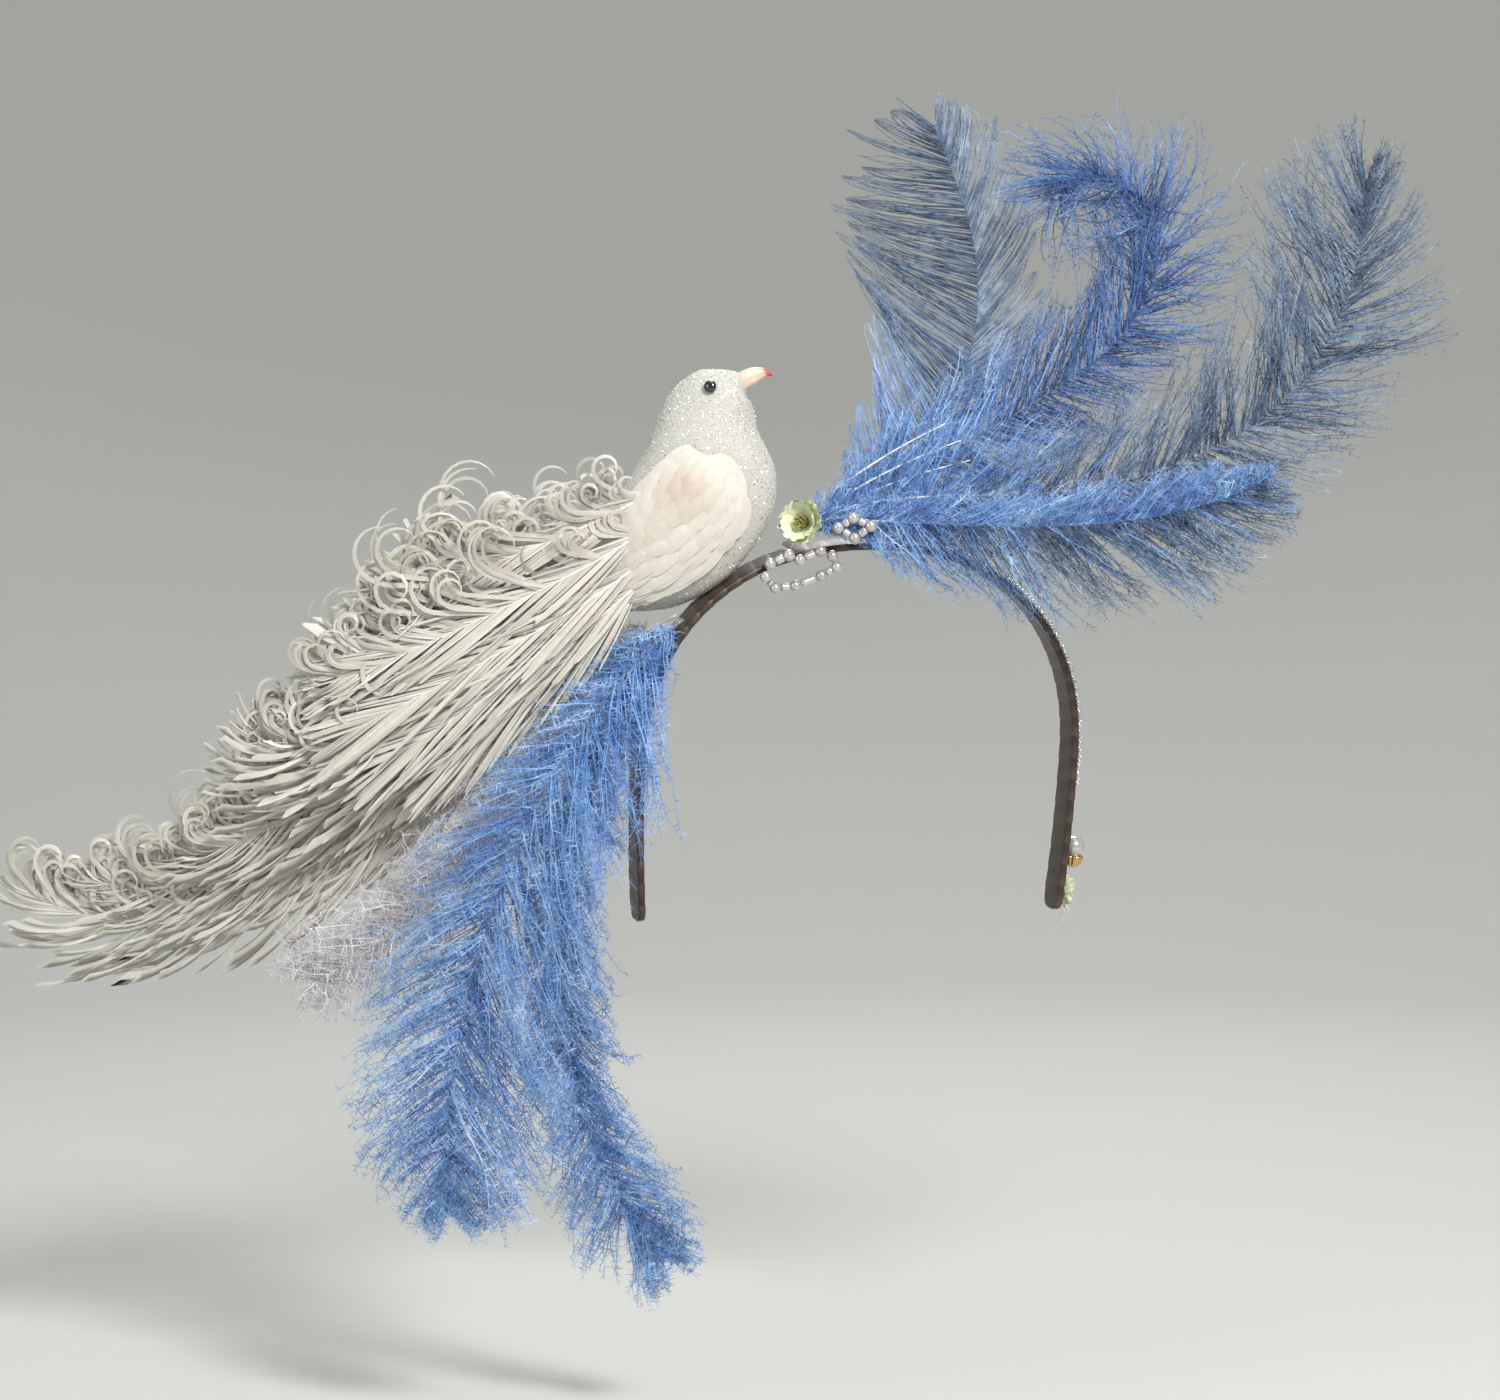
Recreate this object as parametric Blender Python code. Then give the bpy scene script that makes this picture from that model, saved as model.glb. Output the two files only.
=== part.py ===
"""Feather headdress on a narrow satin headband: a glittered dove with a train of curled feathers,
blue ostrich plumes that hang at the wearer's right and sweep up to the left, a small flower, a pearl
buckle and a pearl drop. Metres, +Z up. The wearer faces -Y and +X is the wearer's left. The origin is
on the band's inner face at the crown, where it rests on the head.
"""

import math

import bmesh
import bpy
import numpy as np

# Seats: glued pieces lie this far apart
SEAT_GAP = 0.0003

# Headband: an arch of satin-wrapped wire, open at the bottom
BAND_HALF = 0.0745  # inner half width where it is widest
BAND_RISE = 0.070  # from the crown down to the widest point
BAND_ARM = 0.054  # straight arm below that
BAND_TUCK = 0.0025  # how far each arm's end comes in
BAND_WIDTH = 0.012
BAND_THICK = 0.0026
BAND_LEAN = math.radians(9)  # the arms' ends lie behind the ears
BAND_POWER = 2.2  # roundness of the arch: 2 is an ellipse
BAND_STATIONS = 30
ARCH_SHARE = 0.72  # of the half band that is curved

# Bead trim along the wearer's left half of the band
TRIM_RADIUS = 0.0009
TRIM_START, TRIM_END = 0.09, 0.78  # shares of the half band
TRIM_FRONT = 0.0030  # towards the front edge
TRIM_STATIONS = 22

# The feathers fan out in an upright plane turned this much from the band's own
FAN_TURN = math.radians(-17)

# Dove
DOVE_LENGTH = 0.0686
DOVE_HEIGHT = 0.0795
DOVE_WIDTH = 0.030
DOVE_SEAT = -0.297  # share of the half band where the belly rests
DOVE_SEAT_ROW = 9
DOVE_SIDES = 18
BEAK_LENGTH = 0.0105
BEAK_HEIGHT = 0.0064
BEAK_WIDTH = 0.0052
EYE_RADIUS = 0.0021
EYE_DEPTH = 0.0011
EYE_ROW, EYE_ANGLE = 2.3, math.radians(113)
WING_THICK = 0.0022
WING_TAIL = 0.020  # how far the wing's tip reaches past the rump

# Curled feathers of the train, rooted on the flat end of the dove's rump
CURL_QUILL = 0.0014
CURL_PITCH = 0.0020  # from one quill to the next, front to back
CURL_SPREAD = 0.0011  # the same, down the rump
CURL_SWEEP = 44  # degrees ahead of square at which its locks leave the shaft
PLAIN_CURL, PLAIN_MARKS = -25, (0.5, 1.0)  # bend of the plain locks, and their sections
HOOK_CURL, HOOK_MARKS = -185, (0.25, 0.45, 0.62, 0.80, 1.0)  # the same of the hooked locks
HOOK_HALF, HOOK_TAPER = 0.0026, 0.6  # a hook's half width, and the share of it that goes by the tip

# Plumes
PLUME_QUILL = 0.0020
PLUME_SWELL = 0.05  # how fast a plume thickens away from its root
PLUME_CURL = 12  # degrees that a lock bends on its way out
PLUME_MARKS = (0.34, 0.70, 1.0)  # sections along a lock
LOCK_DROOP = 0.12  # how far every lock droops behind the face, by its reach
TOP_SEAT = -0.153  # share of the half band where the upright plumes are tied on
TOP_PITCH = 0.0028
FRONT_PLUME_LENGTH = 0.159
FRONT_PLUME_OFFSET = 1.5
TOP_PLUME_LENGTH = 0.250
HANG_PLUME_LENGTH = 0.226
TRAIN_LENGTH = 0.244
HANG_SEAT = -0.420
HANG_PITCH = 0.0036

# Flower beside the dove
FLOWER_RADIUS = 0.0070
FLOWER_DEPTH = 0.0050
FLOWER_HUB = 0.0022
FLOWER_PETALS = 5
FLOWER_PLACE = 0.05  # share of the front plume's length where the flower sits on its quill
FLOWER_RISE = 0.0022
PETAL_THICK = 0.0008
FLOWER_CENTRE_RADIUS = 0.0032
FLOWER_CENTRE_DEPTH = 0.0026

# Pearl buckle and loop in front of the band
PEARL_RADIUS = 0.00185
THREAD_RADIUS = 0.0007
PEARL_SIDES = 10
PEARL_RINGS = (-0.92, -0.42, 0.42, 0.92)  # shares of its radius
BUCKLE_LENGTH = 0.0242
BUCKLE_HEIGHT = 0.0122
BUCKLE_SEAT = -0.140
BUCKLE_DROP = 0.0035
LOOP_LENGTH = 0.0106
LOOP_HEIGHT = 0.0066
LOOP_PLACE = 0.147  # share of the front plume's length where the loop lies
LOOP_DROP = 0.0030

# Pearl drop at the wearer's left end
SIDE_SEAT = 0.889
SIDE_PEARL_RADIUS = 0.00365
SIDE_CAP_RADIUS = 0.0033
SIDE_CAP_HEIGHT = 0.0042
SIDE_FLOWER_SEAT = 0.968
SIDE_FLOWER_RADIUS = 0.0062
SIDE_FLOWER_DEPTH = 0.0030
SIDE_FLOWER_PETALS = 5
SIDE_FLOWER_HUB = 0.0016

# Both outlines of the dove, from the face to the rump: shares of its length along and of its height up,
# for the back and the breast, then the share of its width
DOVE_ROWS = (
    # back along, back up, breast along, breast up, width
    (0.793, 0.992, 0.851, 0.896, 0.28),
    (0.716, 1.000, 0.889, 0.842, 0.60),
    (0.625, 0.992, 0.899, 0.793, 0.74),
    (0.538, 0.942, 0.913, 0.743, 0.79),
    (0.471, 0.867, 0.947, 0.685, 0.82),
    (0.423, 0.768, 0.986, 0.610, 0.88),
    (0.370, 0.656, 1.000, 0.523, 0.95),
    (0.303, 0.556, 0.976, 0.407, 1.00),
    (0.236, 0.465, 0.889, 0.270, 0.98),
    (0.168, 0.382, 0.755, 0.137, 0.90),
    (0.120, 0.303, 0.563, 0.041, 0.74),
    (0.072, 0.232, 0.370, 0.008, 0.55),
    (0.034, 0.183, 0.188, 0.025, 0.42),
)

# The beak, from its base to the hooked tip: shares of its length, height and width
BEAK_ROWS = (
    # along, drop, height, width
    (0.00, 0.00, 1.00, 1.00),
    (0.45, 0.00, 0.86, 0.80),
    (0.80, 0.10, 0.55, 0.50),
    (1.00, 0.38, 0.22, 0.24),
)

# A wing laid on the dove's side: place along the dove's rows, half angle in degrees, share of the
# wing's tail added, share of its thickness
WING_ROWS = (
    # row, half angle, tail, thickness
    (5.5, 12, 0.0, 0.60),
    (6, 26, 0.0, 0.90),
    (7, 40, 0.0, 1.00),
    (8, 43, 0.0, 1.00),
    (9, 42, 0.0, 1.00),
    (10, 41, 0.0, 1.00),
    (11, 40, 0.0, 0.90),
    (12, 38, 0.0, 0.85),
    (12, 26, 0.6, 0.70),
    (12, 10, 1.0, 0.55),
)

# Each bend table gives a feather's way from its root to its tip: the share of its length, its heading in
# the fan's plane (0 to the wearer's left, 90 up), its lean towards the front and the turn of its face
CURL_BENDS = (
    ((0, 206, 0, 0), (0.12, 170, 0, 0), (0.3, 152, 2, 0), (0.55, 186, 7, 0), (0.78, 215, 8, 0),
     (1, 232, 8, 0)),
    ((0, 206, 0, 0), (0.15, 186, 2, 0), (0.5, 201, 4, 0), (1, 212, 4, 0)),
    ((0, 208, 0, 0), (0.5, 215, 1, 0), (1, 214, 1, 0)),
    ((0, 224, -3, 0), (0.35, 222, -3, 0), (0.6, 208, -2, 0), (0.8, 178, -1, 0), (1, 120, 0, 0)),
    ((0, 224, -6, 0), (0.4, 219, -6, 0), (0.7, 209, -5, 0), (1, 201, -4, 0)),
    ((0, 230, -5, 0), (0.12, 230, -6, 0), (0.3, 225, -10, 0), (0.55, 211, -8, 0), (0.8, 190, -7, 0),
     (1, 150, -6, 0)),
)
HANG_BENDS = (
    ((0, 218, 9, 15), (0.12, 229, 12, 28), (0.3, 240, 10, 34), (0.5, 249, 5, 28), (0.8, 262, 0, 16),
     (1, 276, 0, 8)),
    ((0, 228, 3, 8), (0.15, 243, 4, 20), (0.35, 256, 4, 25), (0.55, 273, 2, 20), (0.8, 289, 0, 10),
     (1, 314, 0, 5)),
    ((0, 202, -1, 0), (0.1, 217, -1, 0), (0.25, 230, -1, 0), (0.55, 238, -1, 0), (0.8, 224, -1, 0),
     (1, 204, -1, 0)),
)
TOP_BENDS = (
    ((0, 47, -12, 0), (0.08, 38, -12, 0), (0.2, 31, -11, 0), (0.42, 55, -9, -8), (0.55, 76, -8, -12),
     (0.7, 94, -6, -12), (0.82, 107, -4, -10), (1, 114, -2, -8)),
    ((0, 40, -4, 0), (0.1, 29, -4, 0), (0.25, 27, -4, 0), (0.43, 31, -3, 0), (0.55, 37, -2, 0),
     (0.64, 52, 0, 0), (0.73, 78, 3, 0), (0.8, 104, 6, 0), (0.87, 142, 8, 0), (0.94, 182, 9, 0),
     (1, 215, 9, 0)),
    ((0, 46, 4, 0), (0.06, 31, 4, 0), (0.13, 7, 4, 0), (0.28, -1, 4, 0), (0.4, 8, 4, 0), (0.58, 27, 3, 0),
     (0.69, 43, 2, 0), (0.76, 57, 1, 0), (0.84, 71, 0, 0), (0.92, 83, 0, 0), (1, 86, 0, 0)),
    ((0, 56, 3, 0), (0.05, 46, 3, 0), (0.09, 15, 3, 0), (0.13, -5, 4, 4), (0.2, -3, 12, 8),
     (0.45, -2, 10, 12), (0.7, 6, 8, 12), (0.85, 15, 6, 8), (1, 26, 4, 0)),
)
CURL_OUTLINE = ((0, 0.7), (0.3, 1.0), (0.8, 0.9), (1, 0.55))
CURLED_FEATHERS = (
    # length, curled side reach and plain side reach as shares of the train's length, locks a side, bare share
    (0.238, 0.0615, 0.0410, 5, 0.34),
    (0.352, 0.0779, 0.0492, 6, 0.20),
    (0.398, 0.0820, 0.0615, 6, 0.25),
    (0.549, 0.0738, 0.0492, 5, 0.55),
    (0.631, 0.0902, 0.0738, 7, 0.40),
    (1.000, 0.0902, 0.0820, 9, 0.38),
)
# How far the barbs reach beside a plume, as shares of its reach, by share of its barbed length
PLUME_OUTLINES = {
    "early": ((0, 0.75), (0.2, 0.95), (0.5, 1.0), (0.7, 0.95), (0.88, 0.6), (1, 0.35)),
    "late": ((0, 0.40), (0.2, 0.55), (0.45, 0.95), (0.7, 1.0), (0.88, 0.7), (1, 0.4)),
    "broad": ((0, 0.45), (0.15, 0.72), (0.4, 1.0), (0.7, 0.96), (0.9, 0.74), (1, 0.5)),
    "head": ((0, 0.5), (0.2, 0.7), (0.5, 0.78), (0.75, 1.0), (0.9, 0.95), (1, 0.7)),
    "slim": ((0, 0.4), (0.2, 0.7), (0.5, 0.8), (0.8, 0.9), (0.92, 1.0), (1, 0.75)),
    "inner": ((0, 0.5), (0.25, 0.85), (0.55, 1.0), (0.75, 0.6), (0.9, 0.45), (1, 0.5)),
}
# A plume's sides are named as someone sees them who looks along it from root to tip
PLUMES = (
    # name, seat, offset in pitches, bends, length,
    # left reach, left sweep, left outline, right reach, right sweep, right outline,
    # thickness, locks a side, bare share, colour
    # Lengths, reaches and thicknesses are shares of TOP_PLUME_LENGTH or HANG_PLUME_LENGTH
    ("hanging_plume_1", "hang", 1.05, HANG_BENDS[0], 0.942,
     0.257, 44, "early", 0.195, 42, "late", 0.0376, 11, 0.05, "blue"),
    ("hanging_plume_2", "hang", 0.0, HANG_BENDS[1], 1.000,
     0.115, 48, "slim", 0.119, 48, "slim", 0.0265, 11, 0.10, "blue"),
    ("white_plume", "hang", -1.05, HANG_BENDS[2], 0.761,
     0.097, 45, "slim", 0.115, 45, "slim", 0.0212, 9, 0.10, "white"),
    ("top_plume_1", "top", -1.5, TOP_BENDS[0], 0.688,
     0.200, 24, "broad", 0.144, 56, "broad", 0.0180, 12, 0.22, "steel"),
    ("top_plume_2", "top", -0.5, TOP_BENDS[1], 0.848,
     0.112, 46, "inner", 0.104, 40, "head", 0.0300, 12, 0.14, "deep"),
    ("top_plume_3", "top", 0.5, TOP_BENDS[2], 1.000,
     0.176, 38, "head", 0.128, 45, "head", 0.0280, 12, 0.16, "steel"),
    ("top_plume_4", "top", FRONT_PLUME_OFFSET, TOP_BENDS[3], FRONT_PLUME_LENGTH / TOP_PLUME_LENGTH,
     0.064, 50, "broad", 0.152, 40, "broad", 0.0260, 10, 0.18, "blue"),
)

# Pearls round the buckle and the loop beside it: shares of each one's length and height from its middle
BUCKLE_PEARLS = (
    (-0.500, -0.27), (-0.443, 0.08), (-0.186, 0.32), (-0.029, 0.19), (0.257, 0.43),
    (0.429, 0.30), (0.500, 0.00), (0.286, -0.24), (-0.071, -0.51), (-0.357, -0.57),
)
LOOP_PEARLS = ((-0.36, 0.02), (0.10, 0.50), (0.64, 0.10), (0.14, -0.50))

COLOURS = {
    # linear red, green, blue, roughness, metallic
    "satin": (0.085, 0.052, 0.032, 0.42, 0.0),
    "seed": (0.75, 0.74, 0.70, 0.20, 0.6),
    "glitter": (0.72, 0.72, 0.66, 0.35, 0.2),
    "beak": (0.76, 0.48, 0.31, 0.45, 0.0),
    "eye": (0.006, 0.006, 0.007, 0.08, 0.0),
    "cream": (0.74, 0.68, 0.54, 0.7, 0.0),
    "curl": (0.60, 0.57, 0.46, 0.6, 0.0),
    "white": (0.72, 0.69, 0.74, 0.8, 0.0),
    "blue": (0.075, 0.19, 0.56, 0.75, 0.0),
    "deep": (0.030, 0.105, 0.44, 0.75, 0.0),
    "steel": (0.085, 0.165, 0.36, 0.7, 0.0),
    "petal": (0.66, 0.74, 0.50, 0.6, 0.0),
    "stamen": (0.24, 0.22, 0.035, 0.7, 0.0),
    "pearl": (0.80, 0.77, 0.74, 0.15, 0.1),
    "gold": (0.55, 0.40, 0.12, 0.35, 0.7),
}

SIDE = np.array([math.cos(FAN_TURN), math.sin(FAN_TURN), 0.0])
UP = np.array([0.0, 0.0, 1.0])
TOWARD = np.array([math.sin(FAN_TURN), -math.cos(FAN_TURN), 0.0])
BAND_FRONT = np.array([0.0, -math.cos(BAND_LEAN), -math.sin(BAND_LEAN)])
BAND_DOWN = np.array([0.0, math.sin(BAND_LEAN), -math.cos(BAND_LEAN)])


def clear_scene():
    for obj in list(bpy.data.objects):
        bpy.data.objects.remove(obj, do_unlink=True)


def material(name):
    found = bpy.data.materials.get(name)
    if found:
        return found
    red, green, blue, roughness, metallic = COLOURS[name]
    made = bpy.data.materials.new(name)
    made.use_nodes = True
    shader = made.node_tree.nodes["Principled BSDF"]
    shader.inputs["Base Color"].default_value = (red, green, blue, 1.0)
    shader.inputs["Roughness"].default_value = roughness
    shader.inputs["Metallic"].default_value = metallic
    made.diffuse_color = (red, green, blue, 1.0)
    return made


def unit(vector):
    return vector / np.linalg.norm(vector)


def table_value(rows, share, column=1):
    """A column of a table, read in a straight line between rows whose first column is the share."""
    return float(np.interp(share, [row[0] for row in rows], [row[column] for row in rows]))


class Solid:
    """Points and faces of one closed body, built ring by ring."""

    def __init__(self):
        self.points = []
        self.faces = []

    def ring(self, points):
        first = len(self.points)
        self.points.extend(points)
        return list(range(first, first + len(points)))

    def bridge(self, one, other):
        count = len(one)
        for i in range(count):
            j = (i + 1) % count
            self.faces.append((one[i], one[j], other[j], other[i]))

    def cap(self, ring):
        self.faces.append(tuple(ring))

    def tube(self, rings, closed=False):
        made = [self.ring(points) for points in rings]
        for one, other in zip(made, made[1:]):
            self.bridge(one, other)
        if closed:
            self.bridge(made[-1], made[0])
        else:
            self.cap(made[0])
            self.cap(made[-1])

    def grow(self, face, sections):
        """Extrudes a ring of points that bounds an open face through the sections and caps the end."""
        last = face
        for section in sections:
            ring = self.ring(section)
            self.bridge(last, ring)
            last = ring
        self.cap(last)

    def build(self, name, colour, smooth=False):
        mesh = bpy.data.meshes.new(name)
        mesh.from_pydata([tuple(float(c) for c in p) for p in self.points], [], self.faces)
        work = bmesh.new()
        work.from_mesh(mesh)
        bmesh.ops.recalc_face_normals(work, faces=work.faces)
        if work.calc_volume(signed=True) < 0:
            bmesh.ops.reverse_faces(work, faces=work.faces)
        bmesh.ops.triangulate(work, faces=[f for f in work.faces if len(f.verts) > 3])
        work.to_mesh(mesh)
        work.free()
        mesh.materials.append(material(colour))
        if smooth:
            mesh.shade_smooth()
            mesh.set_sharp_from_angle(angle=math.radians(50))
        obj = bpy.data.objects.new(name, mesh)
        bpy.context.scene.collection.objects.link(obj)
        return obj


def circle(centre, one, other, radius, sides, flat=1.0):
    turns = np.arange(sides) * 2 * math.pi / sides
    return [centre + radius * (math.cos(t) * one + flat * math.sin(t) * other) for t in turns]


def lathe(centre, axis, profile, sides):
    """Rings for a turned solid: profile rows are the place along the axis and the radius there."""
    axis = unit(axis)
    helper = UP if abs(axis[2]) < 0.9 else SIDE
    one = unit(np.cross(helper, axis))
    other = np.cross(axis, one)
    return [circle(centre + axis * along, one, other, radius, sides) for along, radius in profile]


def ball_profile(radius, depth, rings):
    """Profile of a ball or a flattened bead whose two ends are small flats."""
    angles = np.linspace(math.radians(12), math.radians(168), rings)
    return [(-depth * math.cos(a), radius * math.sin(a)) for a in angles]


def band_line(share):
    """The band's inner line in its own plane, as (across, down). The share is 0 at the crown, 1 at the
    wearer's left end and -1 at the right end."""
    side = math.copysign(1.0, share)
    turn = min(abs(share) / ARCH_SHARE, 1.0) * math.pi / 2
    across = BAND_HALF * math.sin(turn) ** (2 / BAND_POWER)
    down = BAND_RISE * (1 - max(math.cos(turn), 0.0) ** (2 / BAND_POWER))
    arm = max(abs(share) - ARCH_SHARE, 0.0) / (1 - ARCH_SHARE)
    return np.array([side * (across - BAND_TUCK * arm**2), down + BAND_ARM * arm])


def band_axes(share):
    """The band's point on its inner face, its outward normal and its direction towards greater shares."""
    step = 0.004
    line = band_line(share)
    along = unit(band_line(min(share + step, 1.0)) - band_line(max(share - step, -1.0)))
    point = np.array([line[0], 0, 0]) + BAND_DOWN * line[1]
    run = np.array([along[0], 0, 0]) + BAND_DOWN * along[1]
    outward = np.cross(BAND_FRONT, run)
    return point, outward, run


def band_point(share, out=0.0, front=0.0):
    point, outward, _ = band_axes(share)
    return point + outward * out + BAND_FRONT * front


def make_headband():
    half = BAND_WIDTH / 2
    soft = BAND_THICK * 0.3
    outer = BAND_THICK
    section = (
        (soft, -half), (0, soft - half), (0, half - soft), (soft, half),
        (outer - soft, half), (outer, half - soft), (outer, soft - half), (outer - soft, -half),
    )
    end_round = BAND_WIDTH / 2 / BAND_ARM * (1 - ARCH_SHARE)
    middle = np.linspace(end_round - 1, 1 - end_round, BAND_STATIONS - 3)
    shares = [-1.0, end_round * 0.4 - 1, *middle, 1 - end_round * 0.4, 1.0]
    rings = []
    for share in shares:
        left = (1.0 - abs(share)) / end_round
        wide = 0.45 + 0.55 * math.sqrt(max(0.0, 1 - (1 - min(left, 1.0)) ** 2))
        rings.append([band_point(share, out, front * wide) for out, front in section])
    solid = Solid()
    solid.tube(rings)
    solid.build("headband", "satin", smooth=True)


def make_trim():
    """The line of seed beads stands as one thin tube on the band's outer face."""
    rings = []
    for share in np.linspace(TRIM_START, TRIM_END, TRIM_STATIONS):
        _, outward, _ = band_axes(share)
        centre = band_point(share, BAND_THICK + SEAT_GAP + TRIM_RADIUS, TRIM_FRONT)
        rings.append(circle(centre, outward, BAND_FRONT, TRIM_RADIUS, 6))
    solid = Solid()
    solid.tube(rings)
    solid.build("band_bead_trim", "seed", smooth=True)


def dove_row(place):
    """One rib of the dove at a place along its rows: back point, breast point and half width."""
    rows = np.array(DOVE_ROWS)
    columns = [float(np.interp(place, np.arange(len(rows)), rows[:, i])) for i in range(5)]
    back = SIDE * columns[0] * DOVE_LENGTH + UP * columns[1] * DOVE_HEIGHT
    breast = SIDE * columns[2] * DOVE_LENGTH + UP * columns[3] * DOVE_HEIGHT
    return back, breast, columns[4] * DOVE_WIDTH / 2


def dove_origin():
    _, belly, _ = dove_row(DOVE_SEAT_ROW)
    return band_point(DOVE_SEAT, BAND_THICK + SEAT_GAP) - belly


def dove_point(place, angle, lift=0.0):
    """A point on the dove's skin: the angle is 0 at the breast, 90 degrees on the near side and 180 at the
    back. The lift stands it off along the rib's own outward direction."""
    back, breast, half = dove_row(place)
    middle = dove_origin() + (back + breast) / 2
    reach = (breast - back) / 2
    tall = np.linalg.norm(reach)
    out = unit(reach) * math.cos(angle) / tall + TOWARD * math.sin(angle) / half
    return middle + reach * math.cos(angle) + TOWARD * half * math.sin(angle) + unit(out) * lift


def make_dove_body():
    angles = np.arange(DOVE_SIDES) * 2 * math.pi / DOVE_SIDES
    places = np.arange(len(DOVE_ROWS))
    solid = Solid()
    solid.tube([[dove_point(place, angle) for angle in angles] for place in places])
    solid.build("dove_body", "glitter", smooth=True)


def face_axes():
    """Centre of the flat face that the beak sits on, the way it faces and the way up it."""
    back, breast, _ = dove_row(0)
    centre = dove_origin() + (back + breast) / 2
    up = unit(back - breast)
    return centre, np.cross(up, TOWARD), up


def make_beak():
    centre, ahead, up = face_axes()
    rings = []
    for along, drop, tall, wide in BEAK_ROWS:
        middle = centre + ahead * (SEAT_GAP + along * BEAK_LENGTH) - up * drop * BEAK_HEIGHT
        rings.append(circle(middle, up * tall * BEAK_HEIGHT / 2, TOWARD * wide * BEAK_WIDTH / 2, 1.0, 10))
    solid = Solid()
    solid.tube(rings)
    solid.build("dove_beak", "beak", smooth=True)


def make_eyes():
    for name, side in (("dove_eye_right", 1), ("dove_eye_left", -1)):
        skin = dove_point(EYE_ROW, side * EYE_ANGLE)
        outward = unit(dove_point(EYE_ROW, side * EYE_ANGLE, 0.001) - skin)
        solid = Solid()
        profile = ball_profile(EYE_RADIUS, EYE_DEPTH, 5)
        solid.tube(lathe(skin + outward * (SEAT_GAP + EYE_DEPTH), outward, profile, 10))
        solid.build(name, "eye", smooth=True)


def rump_axes():
    """Centre of the flat end of the rump, the way it faces and the way down it."""
    back, breast, _ = dove_row(len(DOVE_ROWS) - 1)
    down = unit(breast - back)
    return dove_origin() + (back + breast) / 2, np.cross(down, TOWARD), down


def make_wings():
    """Each wing is a shell on the dove's side, with its tip past the rump."""
    _, tailward, _ = rump_axes()
    columns = 8
    for name, side in (("dove_wing_right", 1), ("dove_wing_left", -1)):
        rings = []
        for place, half_angle, tail, thick in WING_ROWS:
            angles = side * (math.radians(96) + math.radians(half_angle) * np.linspace(-1, 1, columns))
            away = tailward * WING_TAIL * tail + TOWARD * side * WING_THICK * tail * 1.5
            inner = [dove_point(place, a, SEAT_GAP) + away for a in angles]
            outer = [dove_point(place, a, SEAT_GAP + thick * WING_THICK) + away for a in angles]
            rings.append(inner + outer[::-1])
        solid = Solid()
        solid.tube(rings)
        solid.build(name, "cream", smooth=True)


def way(root, length, bends, places):
    """Points and axes (along, left, face) of a feather's shaft at the given shares of its length."""
    fine = np.linspace(0, 1, 241)
    heading = np.radians([table_value(bends, f, 1) for f in fine])
    lean = np.radians([table_value(bends, f, 2) for f in fine])
    along = (
        np.outer(np.cos(heading) * np.cos(lean), SIDE)
        + np.outer(np.sin(heading) * np.cos(lean), UP)
        + np.outer(np.sin(lean), TOWARD)
    )
    steps = (along[:-1] + along[1:]) / 2 * length / (len(fine) - 1)
    line = root + np.vstack([np.zeros(3), np.cumsum(steps, axis=0)])
    found = []
    for place in places:
        point = np.array([np.interp(place, fine, line[:, i]) for i in range(3)])
        forward = unit(np.array([np.interp(place, fine, along[:, i]) for i in range(3)]))
        turn_in_plane = math.radians(table_value(bends, place, 1))
        left = unit(-math.sin(turn_in_plane) * SIDE + math.cos(turn_in_plane) * UP)
        left = unit(left - forward * left.dot(forward))
        face = np.cross(forward, left)
        turn = math.radians(table_value(bends, place, 3))
        found.append((point, forward, math.cos(turn) * left + math.sin(turn) * face,
                      math.cos(turn) * face - math.sin(turn) * left))
    return found


def barb_line(axes, side, reach, sweep, curl, droop, marks):
    """Points and directions of one barb at the marks, from its foot on the shaft. It leaves at the sweep,
    ahead of square to the shaft, bends by the curl over its last part and droops behind the face."""
    _, forward, left, face = axes
    fine = np.linspace(0, 1, 25)
    angle = math.radians(sweep) + math.radians(curl) * np.clip((fine - 0.35) / 0.65, 0, 1) ** 1.3
    run = np.outer(np.cos(angle), side * left) + np.outer(np.sin(angle), forward)
    run = run - np.outer(2 * droop * fine, face)
    line = np.vstack([np.zeros(3), np.cumsum((run[:-1] + run[1:]) / 2 * reach / (len(fine) - 1), axis=0)])
    found = []
    for mark in marks:
        point = np.array([np.interp(mark, fine, line[:, i]) for i in range(3)])
        found.append((point, unit(np.array([np.interp(mark, fine, run[:, i]) for i in range(3)]))))
    return found


def reach_table(reach, rows):
    return [(share, reach * part) for share, part in rows]


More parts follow.
